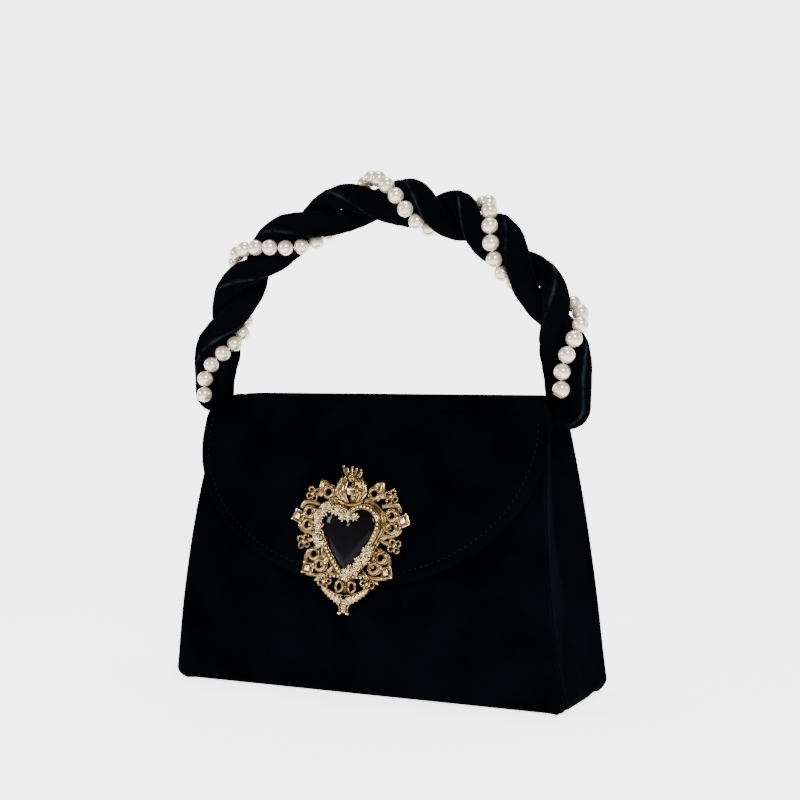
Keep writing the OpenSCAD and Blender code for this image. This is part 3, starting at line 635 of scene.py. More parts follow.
def flap_outline():
    """Right half of the sheet's outline as (x, t), from the bridge's middle to the flap's lowest point."""
    line = [(BRIDGE_HALF, t) for t in np.linspace(0, FLAT_L - 3.0, 7)]
    fillet = 2.0
    corner = t_of_z(FOLD_TOP_Z - 0.25)
    for a in arc(0, 80, 5):
        line.append((BRIDGE_HALF + fillet * (1 - cos(a)), corner - fillet + fillet * sin(a)))
    for a in arc(72, 0, 12):
        z = BODY_H - SHOULDER_R + SHOULDER_R * sin(a) + 0.1
        line.append((BRIDGE_HALF + SHOULDER_R * cos(a), t_of_z(z)))
    for z in np.linspace(BODY_H - SHOULDER_R, FLAP_WIDE_Z, 5)[1:]:
        line.append((FLAP_A, t_of_z(z)))
    for a in arc(90, 0, 64)[1:]:
        z = FLAP_WIDE_Z - (FLAP_WIDE_Z - FLAP_LOW) * cos(a)
        line.append((FLAP_A * sin(a), t_of_z(z)))
    return line


def resample(line, spacing):
    """The same line with evenly spaced points."""
    line = np.array(line)
    length = run_length(line)
    places = np.linspace(0, length[-1], ceil(length[-1] / spacing) + 1)
    return np.stack([np.interp(places, length, line[:, k]) for k in (0, 1)], 1)


half_line = resample(flap_outline(), 1.6)
full_line = np.concatenate([half_line, (half_line * (-1, 1))[::-1][1:]])
tangent = unit(np.gradient(full_line, axis=0))
inward = np.stack([-tangent[:, 1], tangent[:, 0]], 1)
inward[0], inward[-1] = (-1, 0), (1, 0)
for _ in range(2):
    inward[1:-1] = (inward[:-2] + 2 * inward[1:-1] + inward[2:]) / 4
    inward = unit(inward)
WIDE_T = t_of_z(FLAP_WIDE_Z)
# Distances from the flap's edge of its rings of points, closest at the stitched channel.
INSETS = [0.0, 0.35, 0.8, 1.3, 1.9, 2.7, 3.5, 4.0, 4.25, 4.5, 4.75, 5.0, 5.5, 6.3, 7.5, 9.0]
STITCH_IN = 4.5


def inset_line(d):
    return full_line + inward * d


def toward_middle(line, share):
    """The line drawn in to the flap's middle, and below its widest place up as well."""
    drawn = line * (1 - share, 1)
    lower = line[:, 1] > WIDE_T
    drawn[lower, 1] = WIDE_T + (line[lower, 1] - WIDE_T) * (1 - share)
    return drawn


def flap_rise(d, x, t):
    """Edge roll, stitched channel and the wadding's light crown."""
    edge = 2.1 * (1 - sqrt(max(0.0, 1 - (1 - min(d, 2.1) / 2.1) ** 2)))
    channel = 0.42 * exp(-((d - STITCH_IN) / 0.55) ** 2) if t > FLAT_L else 0.0
    pad = 0.5 * (1 - exp(-max(0, d - STITCH_IN) / 9.0)) + 0.35 * exp(-((d - 2.6) / 1.2) ** 2)
    if t < FLAT_L:
        pad *= ease(t / FLAT_L)
    uneven = 0.3 * smooth_noise((x, 0, t), 0.028, 5.0) * ease(d / 12.0) * ease(t / 14.0)
    return pad - edge - channel + uneven


def sheet_place(x, t, rise):
    (y, z), (ny, nz) = sheet_point(max(t, 0.0))
    return (x, y + ny * rise, z + nz * rise)


# The flap's hem from its inner side to its edge, as (rise, distance in).
FLAP_HEM = [(-4.1, 4.2), (-4.15, 2.6), (-4.0, 1.4), (-3.5, 0.5), (-2.8, 0.1)]
flap_rows = []
for rise, d in FLAP_HEM:
    flap_rows.append([sheet_place(x, t, rise) for x, t in inset_line(d)])
for d in INSETS:
    flap_rows.append([sheet_place(x, t, flap_rise(d, x, t)) for x, t in inset_line(d)])
inner_line = inset_line(INSETS[-1])
for share in np.linspace(0, 1, 40)[1:]:
    line = toward_middle(inner_line, share)
    flap_rows.append([sheet_place(x, t, flap_rise(INSETS[-1] + 60 * share, x, t)) for x, t in line])
flap_rows = np.array(flap_rows)
flap_velvet = mesh_object("flap_velvet", flap_rows.reshape(-1, 3), grid_faces(*flap_rows.shape[:2]))
weld(flap_velvet)
thicken(flap_velvet, 0.35, even=False)
finish_piece(flap_velvet, velvet, FOLD_BEND, "flap_panel", "bridge_panel")

# Thread of the stitched line: one short sunk stitch after another.
STITCH_L, STITCH_GAP, STITCH_STEP = 2.3, 0.75, 0.5
END_POINTS = 20
stitch_line = resample(inset_line(STITCH_IN)[END_POINTS:-END_POINTS], STITCH_STEP)
stitches = Solid()
count = int(len(stitch_line) * STITCH_STEP / (STITCH_L + STITCH_GAP))
for k in range(count):
    centre = (k + 0.5) / count * (len(stitch_line) - 1)
    path = []
    for s in np.linspace(-1, 1, 6):
        at = centre + s * STITCH_L / 2 / STITCH_STEP
        i = int(min(max(at, 0), len(stitch_line) - 2))
        x, t = stitch_line[i] + (stitch_line[i + 1] - stitch_line[i]) * (at - i)
        path.append(sheet_place(x, t, flap_rise(STITCH_IN, x, t) + 0.22 * (1 - s ** 4) - 0.05))
    stitches.tube(path, [0.1, 0.26, 0.28, 0.28, 0.26, 0.1], 6)
finish_piece(stitches.make("flap_stitches"), thread, "flap", "flap_stitching")

# ---- handle: two padded tubes twisted round each other, with a string of pearls in the groove ----

ARCH_A, ARCH_SHIFT, ARCH_TOP, ARCH_Z, LEG_LOW = 97.5, -3.0, 240.5, 148.0, 136.0
BIGHT_LEFT_Z, BIGHT_RIGHT_Z, BIGHT_R = 146.0, 140.0, 5.7
ARCH_H = ARCH_TOP - ARCH_Z
arch_points = np.array([
    (ARCH_SHIFT - ARCH_A, LEG_LOW),
    *((ARCH_SHIFT + ARCH_A * cos(a), ARCH_Z + ARCH_H * sin(a)) for a in arc(180, 0, 193)),
    (ARCH_SHIFT + ARCH_A, LEG_LOW),
])
arch_s = run_length(arch_points)
ARCH_L = arch_s[-1]
# Turns that the twist has made at places along the arch.
TWIST_S, TWIST_TURNS = (0, 22, 94, 177, 227, 298, ARCH_L), (0, 0, 1, 2, 3, 4, 4)
FRONT = np.array([0.0, -1.0, 0.0])


def arch_at(s):
    return np.array([np.interp(s, arch_s, arch_points[:, 0]), 0.0, np.interp(s, arch_s, arch_points[:, 1])])


def arch_out(s):
    d = unit(arch_at(min(s + 2, ARCH_L)) - arch_at(max(s - 2, 0)))
    return np.array([-d[2], 0.0, d[0]])


def turns(s):
    return sum(np.interp(s + o, TWIST_S, TWIST_TURNS) for o in (-7, 0, 7)) / 3


FIRST_S = BIGHT_LEFT_Z - LEG_LOW
LAST_S = ARCH_L - (BIGHT_RIGHT_Z - LEG_LOW)
SEAM_ANGLE = radians(52)
TUBE_SIDES = 40
# The tube's half width alone; mix is 0 there and 1 where it is twisted with its neighbour.
TUBE_R = 5.35


def tube_section(centre, e1, e2, mix, s, phase):
    """Plump section, flat where it presses on its neighbour, with a sewn seam along it and the weights of a
    painted sheen streak on that seam.
    """
    ring, seam_sheen = [], []
    for a in around(TUBE_SIDES):
        c, sn = cos(a), sin(a)
        r1 = TUBE_R + 0.75 * mix if c > 0 else 5.75 - 0.05 * mix
        r2 = TUBE_R + 1.95 * mix
        power = 2.0 + 0.45 * mix * (1 if c < 0 else 0.25)
        k = (abs(c) ** power + abs(sn) ** power) ** (-1.0 / power)
        x, y = r1 * k * c, r2 * k * sn
        off = (a - SEAM_ANGLE) * 6.0
        rise = 0.34 * exp(-(off / 0.55) ** 2) - 0.5 * exp(-(off / 1.7) ** 2)
        wrinkle = smooth_noise((s * 0.9, 3.0 * c, 3.0 * sn + phase), 0.24, 4.0 + phase)
        fold = smooth_noise((s * 2.6, 1.5 * c, 1.5 * sn + phase), 0.16, 9.0 + phase)
        rise += (0.42 * wrinkle + 0.3 * fold * max(0.0, -c * 0.4 + 0.6)) * (0.35 + 0.65 * mix)
        n = hypot(x, y)
        ring.append(centre + e1 * (x + rise * x / n) + e2 * (y + rise * y / n))
        # Weight of the painted sheen streak on the seam.
        seam_sheen.append(exp(-(off / 0.7) ** 2))
    return ring, seam_sheen


def rope_ring(s, phase):
    a = 2 * pi * turns(s) + phase
    out = arch_out(s)
    e1 = cos(a) * out + sin(a) * FRONT
    e2 = -sin(a) * out + cos(a) * FRONT
    mix = ease(min(s - FIRST_S, LAST_S - s) / 26.0)
    far = BIGHT_R + (5.8 - BIGHT_R) * mix
    return tube_section(arch_at(s) + far * e1, e1, e2, mix, s, phase)


def bight_ring(side, a, s, phase):
    e1 = np.array([cos(a), 0.0, -sin(a)])
    turn = np.array([ARCH_SHIFT + side * ARCH_A, 0.0, BIGHT_RIGHT_Z if side > 0 else BIGHT_LEFT_Z])
    return tube_section(turn + BIGHT_R * e1, e1, np.array([0.0, -side, 0.0]), 0.0, s, phase)


def rope_tube(name, phase, side, node):
    """One padded tube along the arch, with its U-turn at one end."""
    rope = [rope_ring(s, phase) for s in np.linspace(FIRST_S, LAST_S, 260)]
    angles = arc(0, 180, 22)[1:]
    if side > 0:
        rings = rope + [bight_ring(1, a, LAST_S + a * BIGHT_R, phase) for a in angles]
    else:
        rings = [bight_ring(-1, a, FIRST_S - a * BIGHT_R, phase) for a in angles[::-1]] + rope
    solid = Solid()
    solid.grid([points for points, seam_sheen in rings], caps=True)
    piece = solid.make(name)
    # The painted seam sheen weights, stored for the velvet's colour.
    layer = piece.data.attributes.new("seam_sheen", "FLOAT", "POINT")
    layer.data.foreach_set("value", np.array([seam_sheen for points, seam_sheen in rings], np.float32).ravel())
    finish_piece(piece, rope_velvet, "handle", node)


rope_tube("rope_tube_a", 0.0, 1, "tube_a_sleeve")
rope_tube("rope_tube_b", pi, -1, "tube_b_sleeve")

PEARL_D, PEARL_R, STRING_SLACK = 8.0, 10.2, 2.0


def string_at(s):
    a = 2 * pi * (turns(s) + 0.25)
    far = PEARL_R + STRING_SLACK * max(0.0, cos(a)) ** 2
    return arch_at(s) + far * (cos(a) * arch_out(s) + sin(a) * FRONT)


string_s = np.arange(4.0, ARCH_L - 7.0, 1.5)
string_points = np.array([string_at(s) for s in string_s])
string_run = run_length(string_points)
pearl_count = int(string_run[-1] // (PEARL_D + 0.2))
pearls = Solid()
for k in range(pearl_count):
    s = np.interp((k + 0.5) / pearl_count * string_run[-1], string_run, string_s)
    along = unit(string_at(s + 1) - string_at(s - 1))
    across = unit(np.cross(along, [0.3, 0.5, 0.8]))
    size = PEARL_D / 2 * (1 + 0.012 * sin(k * 2.4))
    pearls.ball(string_at(s), (size, size, size * 0.985), [across, np.cross(along, across), along], 18, 26)
finish_piece(pearls.make("pearl_string"), pearl, "handle", "pearls")

# Two-ply thread through the pearls, with a small knot between each two.
ply_s = np.interp(np.linspace(0, string_run[-1], pearl_count * 12 + 1), string_run, string_s)
twine = Solid()
for ply in (0, pi):
    path = []
    for k, s in enumerate(ply_s):
        a = k * 0.9 + ply
        path.append(string_at(s) + 0.13 * cos(a) * arch_out(s) + 0.13 * sin(a) * FRONT)
    twine.tube(path, 0.16, 6, up=(0.1, 1.0, 0.2))
for k in range(1, pearl_count):
    s = np.interp(k / pearl_count * string_run[-1], string_run, string_s)
    twine.ball(string_at(s), (0.42, 0.42, 0.36), rows=6, cols=8)
finish_piece(twine.make("pearl_twine"), pale_thread, "handle", "pearl_thread")

# ---- brooch, in its own plane: u across, v up, w out of the flap ----

BROOCH_X, BROOCH_Z, LEAN = -2.0, 75.0, radians(9.0)
brooch_origin = np.array([BROOCH_X, -half_depth(BROOCH_Z) - PROUD, BROOCH_Z])
V_AXIS = np.array([0.0, sin(LEAN), cos(LEAN)])
W_AXIS = np.array([0.0, -cos(LEAN), sin(LEAN)])
PLATE_TOP = 1.45


def on_flap(points):
    points = np.asarray(points, float)
    return brooch_origin + points[:, :1] * (1, 0, 0) + points[:, 1:2] * V_AXIS + points[:, 2:3] * W_AXIS


def heart_line(grow, spacing):
    """Closed heart outline, evenly spaced, from the cleft clockwise."""
    right = [(0.0, 11.9 + grow)]
    r = 7.25 + grow
    for a in arc(-50, 90, 29):
        right.append((7.25 + r * sin(a), 8.5 + (r * cos(a) if a < pi / 2 else 0)))
    for t in np.linspace(0, 1, 24)[1:]:
        right.append(((14.5 + grow) * (1 - t) * (1 + 0.45 * t), 7.5 + (-15.5 - grow * 1.3 - 7.5) * t))
    half = resample(right, spacing)
    return np.concatenate([half, (half * (-1, 1))[::-1][1:-1]])


def heart_wires(solid, spacing, wires):
    """Wires along the heart's outline, each as (growth, height, radius, flatness)."""
    for grow, w, r, flat in wires:
        line = heart_line(grow, spacing)
        solid.tube(np.c_[line, np.full(len(line), w)], r, 8, flat, closed=True)


def polar(u, v, r, a):
    return u + r * cos(a), v + r * sin(a)


def cast(solid, name, node, metal=gold):
    """Finishes a casting that is laid in the brooch's plane."""
    finish_piece(solid.make(name, on_flap), metal, "flap", node)


def curve(points, count):
    """Smooth path through a few points."""
    points = np.array(points, float)
    last = len(points) - 1
    out = []
    for t in np.linspace(0, 1, count):
        i = min(int(t * last), last - 1)
        u = t * last - i
        p0, p1, p2, p3 = points[[max(i - 1, 0), i, i + 1, min(i + 2, last)]]
        out.append(0.5 * (2 * p1 + (p2 - p0) * u + (2 * p0 - 5 * p1 + 4 * p2 - p3) * u ** 2
                          + (3 * p1 - p0 - 3 * p2 + p3) * u ** 3))
    return np.array(out)


def leaf(solid, base, tip, width, low, lift, rise=0.0):
    """Pointed leaf with a midrib, domed front and flat back."""
    base, tip = np.array(base, float), np.array(tip, float)
    along = tip - base
    length = np.linalg.norm(along)
    along /= length
    side = np.array([along[1], -along[0]])
    rows = []
    for t in np.linspace(0.0, 1.0, 9):
        half = width / 2 * (sin(pi * min(1.0, 0.12 + t * 0.88)) ** 0.8) * (1 - 0.35 * t) + 0.05
        ring = []
        for a in around(12):
            s = cos(a)
            h = lift * sin(a) if a < pi else 0.25 * sin(a)
            if a < pi:
                h *= 0.72 + 0.28 * min(1.0, abs(s) * 3) + 0.25 * exp(-(s / 0.16) ** 2)
            p = base + along * length * t + side * half * s
            ring.append((p[0], p[1], low + 0.3 + rise * t + h * sin(pi * (0.15 + 0.8 * t)) ** 0.5))
        rows.append(ring)
    solid.grid(rows, caps=True)


# ---- brooch: the pierced plate; its tables hold the right half ----

RINGS = [(12.2, 23.4), (21.9, 13.4), (22.4, 7.4), (17.9, -6.6), (14.3, -11.6)]
# A ring's wires, as (height, radius, thickness, sides, flatness).
RING_WIRES = [(0.8, 2.75, 1.15, 10, 0.4), (1.35, 2.35, 0.8, 12, 1.1), (2.15, 1.8, 0.24, 6, 1.0),
              (1.5, 3.35, 0.3, 6, 1.0)]
# Knots of four small rings, as (place, turn).
KNOTS = [((20.9, 22.3), 20), ((24.2, -0.8), -12), ((11.4, -19.4), -55)]
# Leaves, as (base, tip, width, height, lift).
LEAVES = [((16.1, 21.0), (16.4, 30.2), 4.4, 0.8, 1.6), ((13.2, -16.8), (17.4, -19.4), 2.4, 0.7, 0.9),
          ((14.0, -3.4), (12.6, -9.2), 3.6, 0.5, 0.8), ((17.2, 4.6), (22.6, 2.6), 2.6, 0.5, 0.8)]
BARS = [
    [(6, 19), (9.5, 20.4), (12.2, 20.6)], [(12.2, 26.2), (14.6, 28.2), (17.2, 27.6)],
    [(14.5, 23), (17.4, 22.2), (20, 22)], [(16.4, 17.3), (20.6, 18.2), (25, 18), (26.6, 15)],
    [(14.5, 14), (18, 14.2), (21, 13.4)], [(15.4, 8.6), (19, 7.6), (22.4, 7.4)],
    [(26.8, 9.6), (26.6, 6.6), (24.4, 4)], [(24.4, 4), (20, 3.4), (16, 1.2)],
    [(15.5, 2), (19.6, 0.4), (23, -0.8)], [(13.5, -1), (15.6, -2.6), (17.9, -3.8)],
    [(20.6, -4.6), (22.2, -8), (22.2, -11.6)], [(10, -8), (12, -10.2), (14.3, -11.6)],
    [(22, -15.8), (15, -16.6), (9, -15.4)], [(7, -12), (9.6, -14.8), (11.4, -18)],
    [(11.6, -21.6), (9, -24), (5.6, -25)], [(2, -12.5), (2.4, -16), (3.2, -18.6)],
    [(0, -18), (0, -24)], [(9, -15.4), (5, -16.2), (0, -16.4)],
]
plate = Solid()
for s in (1, -1):
    for u, v in RINGS:
        for w, r, thick, sides, flat in RING_WIRES:
            plate.ring(s * u, v, w, (r, r), thick, sides, flat)
    for (knot_u, knot_v), turn in KNOTS:
        for a in radians(s * turn + 45) + around(4):
            u, v = polar(s * knot_u, knot_v, 2.25, a)
            plate.ring(u, v, 1.35, (1.3, 1.3), 0.62, 9, 1.3, count=18)
            plate.ring(u, v, 2.1, (1.3, 1.3), 0.2, 5, count=18)
        plate.ball((s * knot_u, knot_v, 1.7), (0.8, 0.8, 0.7), rows=6, cols=10)
    for bar in BARS:
        path = curve([(s * u, v, 1.0) for u, v in bar], 12)
        plate.tube(path, 1.12, 10, 0.7)
        step = np.gradient(path, axis=0)
        across = unit(np.stack([-step[:, 1], step[:, 0], np.zeros(len(path))], 1))
        for rail in (0.72, -0.72):
            plate.tube(path + rail * across + (0, 0, 0.65), 0.3, 6)
    plate.ring(s * 3.3, -21.2, 1.3, (1.9, 2.6), 0.8, 8, 1.2, 0.12 * s, 22)
    for (u, v), (tip_u, tip_v), width, low, lift in LEAVES:
        leaf(plate, (s * u, v), (s * tip_u, tip_v), width, low, lift)
heart_wires(plate, 1.0, ((2.7, 1.0, 0.9, 0.9), (3.9, 0.8, 0.9, 0.7), (4.5, 1.5, 0.3, 1.0)))
for k in range(9):
    plate.ball((-8 + 2 * k, -16.2 - 0.5 * cos(k * pi / 4), 1.9), (0.7, 0.7, 0.65), rows=6, cols=8)
cast(plate, "brooch_frame", "brooch_plate")

# ---- brooch: corner studs, heart and its rim ----


def squareness(a):
    """Reach of a rounded square's outline at an angle, for a half side of 1."""
    return (abs(cos(a)) ** 9 + abs(sin(a)) ** 9) ** (-1 / 9)


def square_ring(u, v, half, tilt, w):
    """Rounded square, turned in the brooch's plane."""
    return [(*polar(u, v, half * squareness(a), a + tilt), w) for a in around(40)]


# Studs, as (place, turn), and their steps from foot to point, as (half side, height).
STUDS = [((28, 11.2), 24), ((20.9, -13.4), 10)]
STUD_STEPS = [(2.9, 0.6), (2.9, 1.3), (2.7, 1.55), (2.0, 1.45), (1.75, 1.4), (1.5, 1.75), (1.25, 2.5),
              (0.9, 3.0), (0.1, 3.15)]
studs = Solid()
for s in (1, -1):
    for (u, v), turn in STUDS:
        tilt = radians(s * turn)
        steps = [square_ring(s * u, v, half, tilt, w) for half, w in STUD_STEPS]
        studs.grid(steps, caps=True)
        for half, w, r, sides in ((2.35, 1.75, 0.42, 7), (1.3, 2.45, 0.2, 6)):
            studs.tube(square_ring(s * u, v, half, tilt, w), r, sides, closed=True)
        for a in tilt + pi / 4 + around(4):
            studs.ball((*polar(s * u, v, 3.45, a), 1.6), (0.7, 0.7, 0.7), rows=6, cols=8)
cast(studs, "brooch_studs", "corner_studs")

bezel = Solid()
heart_wires(bezel, 0.8, ((1.25, 2.4, 1.15, 1.1), (0.25, 3.2, 0.4, 1.3), (2.25, 3.1, 0.34, 1.0)))
cast(bezel, "brooch_bezel", "heart_bezel")
beads = Solid()
for u, v in heart_line(1.25, 2.0):
    beads.ball((u, v, 3.75), (0.78, 0.78, 0.72), rows=7, cols=12)
cast(beads, "brooch_beads", "bezel_beads")

stone_edge = heart_line(-0.05, 0.5)
stone_rows = [[(u, v, PLATE_TOP + 0.05) for u, v in stone_edge]]
for s in [*np.linspace(1.0, 0.9, 7), *np.linspace(0.9, 0.0, 24)[1:]]:
    dome = 2.2 + 3.1 * max(0.0, 1 - s ** 2.6) ** 0.55
    stone_rows.append([(u * s, 1.5 + (v - 1.5) * s, dome) for u, v in stone_edge])
stone = Solid()
stone.grid(stone_rows)
stone.faces.append(tuple(range(len(stone_edge)))[::-1])
finish_piece(weld(stone.make("heart_enamel", on_flap)), enamel, "flap", "heart_stone")

# ---- brooch: flame crest ----

# Leaves of the bulb, back row first, as (base u, bulge u, tip u, tip v, lift).
BULB = [
    (4.6, 7.4, 6.6, 29.0, 0.0), (3.6, 6.4, 5.4, 30.8, 0.5), (2.6, 5.2, 3.6, 31.4, 0.9),
    (1.4, 3.6, 2.2, 31.8, 1.2), (3.8, 5.6, 5.2, 26.6, 1.5), (2.6, 4.0, 3.4, 28.2, 1.9),
    (1.2, 2.2, 1.4, 29.2, 2.2), (2.0, 2.8, 2.6, 24.6, 2.5),
]
BULB_V = 18.4
# Flared tips above its neck, as (u, v).
TIPS = [(-4.9, 35.9), (-2.5, 34.7), (-0.2, 35.5), (2.3, 34.9), (4.5, 34.4), (5.0, 33.2)]
COLLAR = [(-6.6, 19.6, 1.9), (-3.2, 18.0, 2.6), (0, 17.6, 2.8), (3.2, 18.0, 2.6), (6.6, 19.6, 1.9)]
span = np.linspace(0, 1, 18)
leaf_thick = 0.42 + 0.72 * np.sin(np.pi * np.minimum(1, span * 0.86 + 0.1)) ** 1.2
flames = Solid()
for base, bulge, tip_u, tip_v, lift in BULB:
    rise = tip_v - BULB_V
    for s in (1, -1):
        path = curve([
            (s * base * 0.7, 18.2, 1.6 + lift * 0.5),
            (s * bulge, BULB_V + rise * 0.42, 2.2 + lift * 1.15),
            (s * (0.7 * bulge + 0.3 * tip_u), BULB_V + rise * 0.74, 2.1 + lift),
            (s * tip_u, tip_v, 1.9 + lift * 0.8),
        ], 18)
        flames.tube(path, leaf_thick, 9, 0.85)
        flames.tube(path + (0, 0, 0.62), 0.2 + 0.08 * np.sin(span * pi), 5)
for k, (u, v) in enumerate(TIPS):
    forward = k % 2
    path = curve([(0.35 * u, 28.6, 2.2), (0.42 * u, 31.0, 2.7 + 0.2 * forward), (0.78 * u, v - 2.0, 2.6),
                  (u, v, 2.2 + 0.4 * forward)], 14)
    flames.tube(path, np.linspace(1.05, 0.75, 14), 9, 0.8)
    flames.ball(path[-1], (0.85, 0.7, 0.65), rows=6, cols=9)
    flames.tube(path + (0, 0, 0.7), 0.24, 5)
flames.ball((0.0, 24.2, 4.2), (1.5, 2.4, 1.0), rows=8, cols=12)
flames.tube(curve(COLLAR, 18), 0.95, 9, 0.9)
cast(flames, "brooch_flame", "flame_crest")

# ---- brooch: sprays of flowers ----


def floret(solid, u, v, w, size, petals, turn):
    """One cast flower: two rows of raised pointed petals round a seed head."""
    for row, (reach, wide, lift) in enumerate(((1.15, 0.72, 0.5), (0.7, 0.5, 0.75))):
        for k in range(petals):
            a = turn + 2 * pi * (k + 0.5 * row) / petals
            leaf(solid, polar(u, v, 0.15 * size, a), polar(u, v, reach * size, a), wide * size,
                 w - 0.3 + 0.3 * row, 0.28 * size, lift)
    solid.ball((u, v, w + 0.55), (0.26 * size, 0.26 * size, 0.24 * size), rows=6, cols=9)


def spray(name, path, spread, count, node, sizes):
    """Florets and loose leaves on both sides of a path."""
    solid = Solid()
    path = curve(path, 60)
    for k in range(count):
        i = int((k + 0.5) / count * 59)
        step = path[min(i + 1, 59)] - path[max(i - 1, 0)]
        side = np.array([-step[1], step[0]]) / max(np.hypot(*step), 1e-6)
        u, v = path[i] + side * (spread * (-0.7, 0.5, 0.0, 0.8, -0.4)[k % 5])
        size = sizes[k % len(sizes)]
        floret(solid, u, v, 4.3 + 0.5 * (k % 3), size, (5, 6, 5, 7)[k % 4], k * 1.3)
        a = k * 2.1 + 0.4
        leaf(solid, (u, v), polar(u, v, size * 1.35, a), 1.2, 3.3, 0.6)
        leaf(solid, (u, v), polar(u, v, size * 1.35, a + 2.6), 1.1, 3.1, 0.5)
    cast(solid, name, node, bright_gold)


UPPER_SPRAY = [(-13.4, -2.4), (-15.2, 3.4), (-15.0, 10.2), (-12.2, 15.4), (-7.6, 15.8), (-3.0, 13.4),
               (0.6, 11.6), (4.6, 13.4)]
LOWER_SPRAY = [(0.6, -15.4), (4.4, -13.2), (8.4, -10.4), (11.4, -6.4), (12.6, -2.6)]
spray("brooch_spray_upper", UPPER_SPRAY, 1.7, 26, "flower_spray_upper", (2.0, 1.6, 2.3, 1.5, 1.9))
spray("brooch_spray_lower", LOWER_SPRAY, 1.9, 15, "flower_spray_lower", (2.2, 1.6, 1.9, 1.5))

# ---- brooch: ribbed pendant ----

pendant = Solid()
t = np.linspace(0, 1, 64)
ribbed = (0.9 + 1.45 * t ** 0.7) * (1 + 0.2 * np.sign(np.sin(t * 44)) * np.abs(np.sin(t * 44)) ** 0.5)
for s in (1, -1):
    horn = [(s * 12.2, -21.6, 1.6), (s * 9.4, -23.9, 1.7), (s * 5.4, -26.2, 1.9), (s * 1.2, -28.0, 2.1)]
    upper = [(s * 12.8, -20.8, 2.0), (s * 9.6, -22.6, 2.2), (s * 5.0, -24.6, 2.3), (0, -25.4, 2.4)]
    lower = [(s * 12.6, -22.4, 1.9), (s * 8.6, -25.8, 2.0), (s * 3.6, -28.9, 2.0), (s * 2.0, -31.6, 1.9),
             (s * 2.6, -33.8, 1.8)]
    pendant.tube(curve(horn, 64), ribbed, 12, 0.6)
    pendant.tube(curve(upper, 20), 0.42, 7)
    pendant.tube(curve(lower, 26), 0.4, 7)
    pendant.ball((s * 2.1, -33.7, 1.7), (1.25, 0.75, 0.9), rows=7, cols=12)
t = np.linspace(0, 1, 50)
stem = np.stack([np.zeros(50), -27.0 - 6.6 * t, np.full(50, 1.8)], 1)
pendant.tube(stem, (2.7 - 1.9 * t + 1.1 * t ** 6) * (1 + 0.2 * np.sin(t * 34)), 14, 0.6)
cast(pendant, "brooch_pendant_ribbed", "brooch_pendant")

# ---- base skin ----

BASE_SIDES = 96
# Rings from the turned edge to the flat underside, as (inset, height).
BASE_RINGS = [(1.1, 1.7), (0.3, 1.3), (0.0, 0.8), (0.3, 0.3), (1.0, 0.08), (3.0, 0.02), (9.0, 0.02),
              (14.0, 0.05)]
base_rows = []
for inset, z in BASE_RINGS:
    wide, deep = 101.0 - inset, 25.7 - inset
    base_rows.append([(wide * squareness(a) * cos(a), deep * squareness(a) * sin(a), z)
                      for a in around(BASE_SIDES)])
solid = Solid()
solid.grid(base_rows)
solid.faces.append(tuple(range(len(solid.points) - BASE_SIDES, len(solid.points))))
base_velvet = finish_piece(solid.make("base_velvet"), velvet, "body", "base_panel")

# ---- satin inside; SATIN_IN is the depth of the layers that it lies on ----

SATIN_IN = 2.95


def creases(p, seed, size=1.0):
    """Soft pulls of thin satin over its backing."""
    tall = smooth_noise((p[0] * 0.35, p[1] * 0.35, p[2]), 0.05, seed)
    pull = tall + 0.6 * smooth_noise(p, 0.09, seed + 2.0)
    return size * 0.35 * max(0.0, pull + 0.3)


def wall_satin(sign, seed):
    rows = []
    for wide, depth, z in wall_profile(133.8, 40):
        slope = wall_slope(depth, z)
        wide = min(wide, back_width(z)) - 2.2
        row = []
        for x in np.linspace(-wide, wide, 48):
            sink = SATIN_IN + creases((x, 0, z), seed) * min(1.0, z / 30.0)
            row.append((x, sign * (depth - sink * cos(slope)), z - sink * sin(slope)))
        rows.append(row)
    return rows


def gusset_satin(side):
    rows = []
    for z in [3.4, 4.4, *np.linspace(FOOT_R, 126.8, 34)]:
        if z > FOOT_R:
            wide, depth = half_width(z), half_depth(z) - 4.1
        else:
            wide = FOOT_X + sqrt(FOOT_R ** 2 - (FOOT_R - z) ** 2)
            depth = FOOT_Y + sqrt(max(0.3, 2.4 ** 2 - (FOOT_R - z) ** 2)) - 0.5
        row = []
        for y in np.linspace(-depth, depth, 20):
            sink = pinch(z, (y + depth) / (2 * depth)) + SATIN_IN + creases((60, y, z), 23.0 + side, 0.8)
            row.append((side * (wide - sink), y, z))
        rows.append(row)
    return rows


def base_satin():
    """Padded sheet on the base, domed between its turned edges."""
    rows = []
    for j in np.linspace(-1, 1, 30):
        row = []
        for i in np.linspace(-1, 1, 70):
            edge = (1 - abs(i) ** 14) * (1 - abs(j) ** 8)
            dome = 0.85 * max(0.0, edge) ** 0.5 + creases((93 * i, 25 * j, 0), 25.0, 0.5) * edge
            row.append((93.2 * i, 25.2 * j, SATIN_IN + dome))
        rows.append(row)
    return rows


def flap_satin():
    """Underside of the strip and the flap in one sheet, turned in under the flap's velvet hem."""
    edge_x, edge_t = half_line[:, 0], half_line[:, 1]
    low = edge_t[-1]
    rows = []
    for t in [*np.linspace(-10.6, FLAT_L, 12), *np.linspace(FLAT_L, FLAT_L + ARC_L, 7)[1:],
              *np.linspace(FLAT_L + ARC_L, low - 2.6, 56)[1:]]:
        share = ease((t - FLAT_L + 2) / (ARC_L + 6))
        at = WIDE_T + (t - WIDE_T) * (low - WIDE_T) / (low - 2.4 - WIDE_T) if t > WIDE_T else t
        wide = (np.interp(at, edge_t, edge_x) if t > 0 else BRIDGE_HALF) - 1.8 - 0.6 * share
        (y, z), (ny, nz) = sheet_point(t)
        row = []
        for x in np.linspace(-wide, wide, 50):
            sink = 2.1 + 1.5 * share + creases((x, 0, t), 27.0, 0.8) * share
            row.append((x, y - ny * sink, z - nz * sink))
        rows.append(row)
    return rows


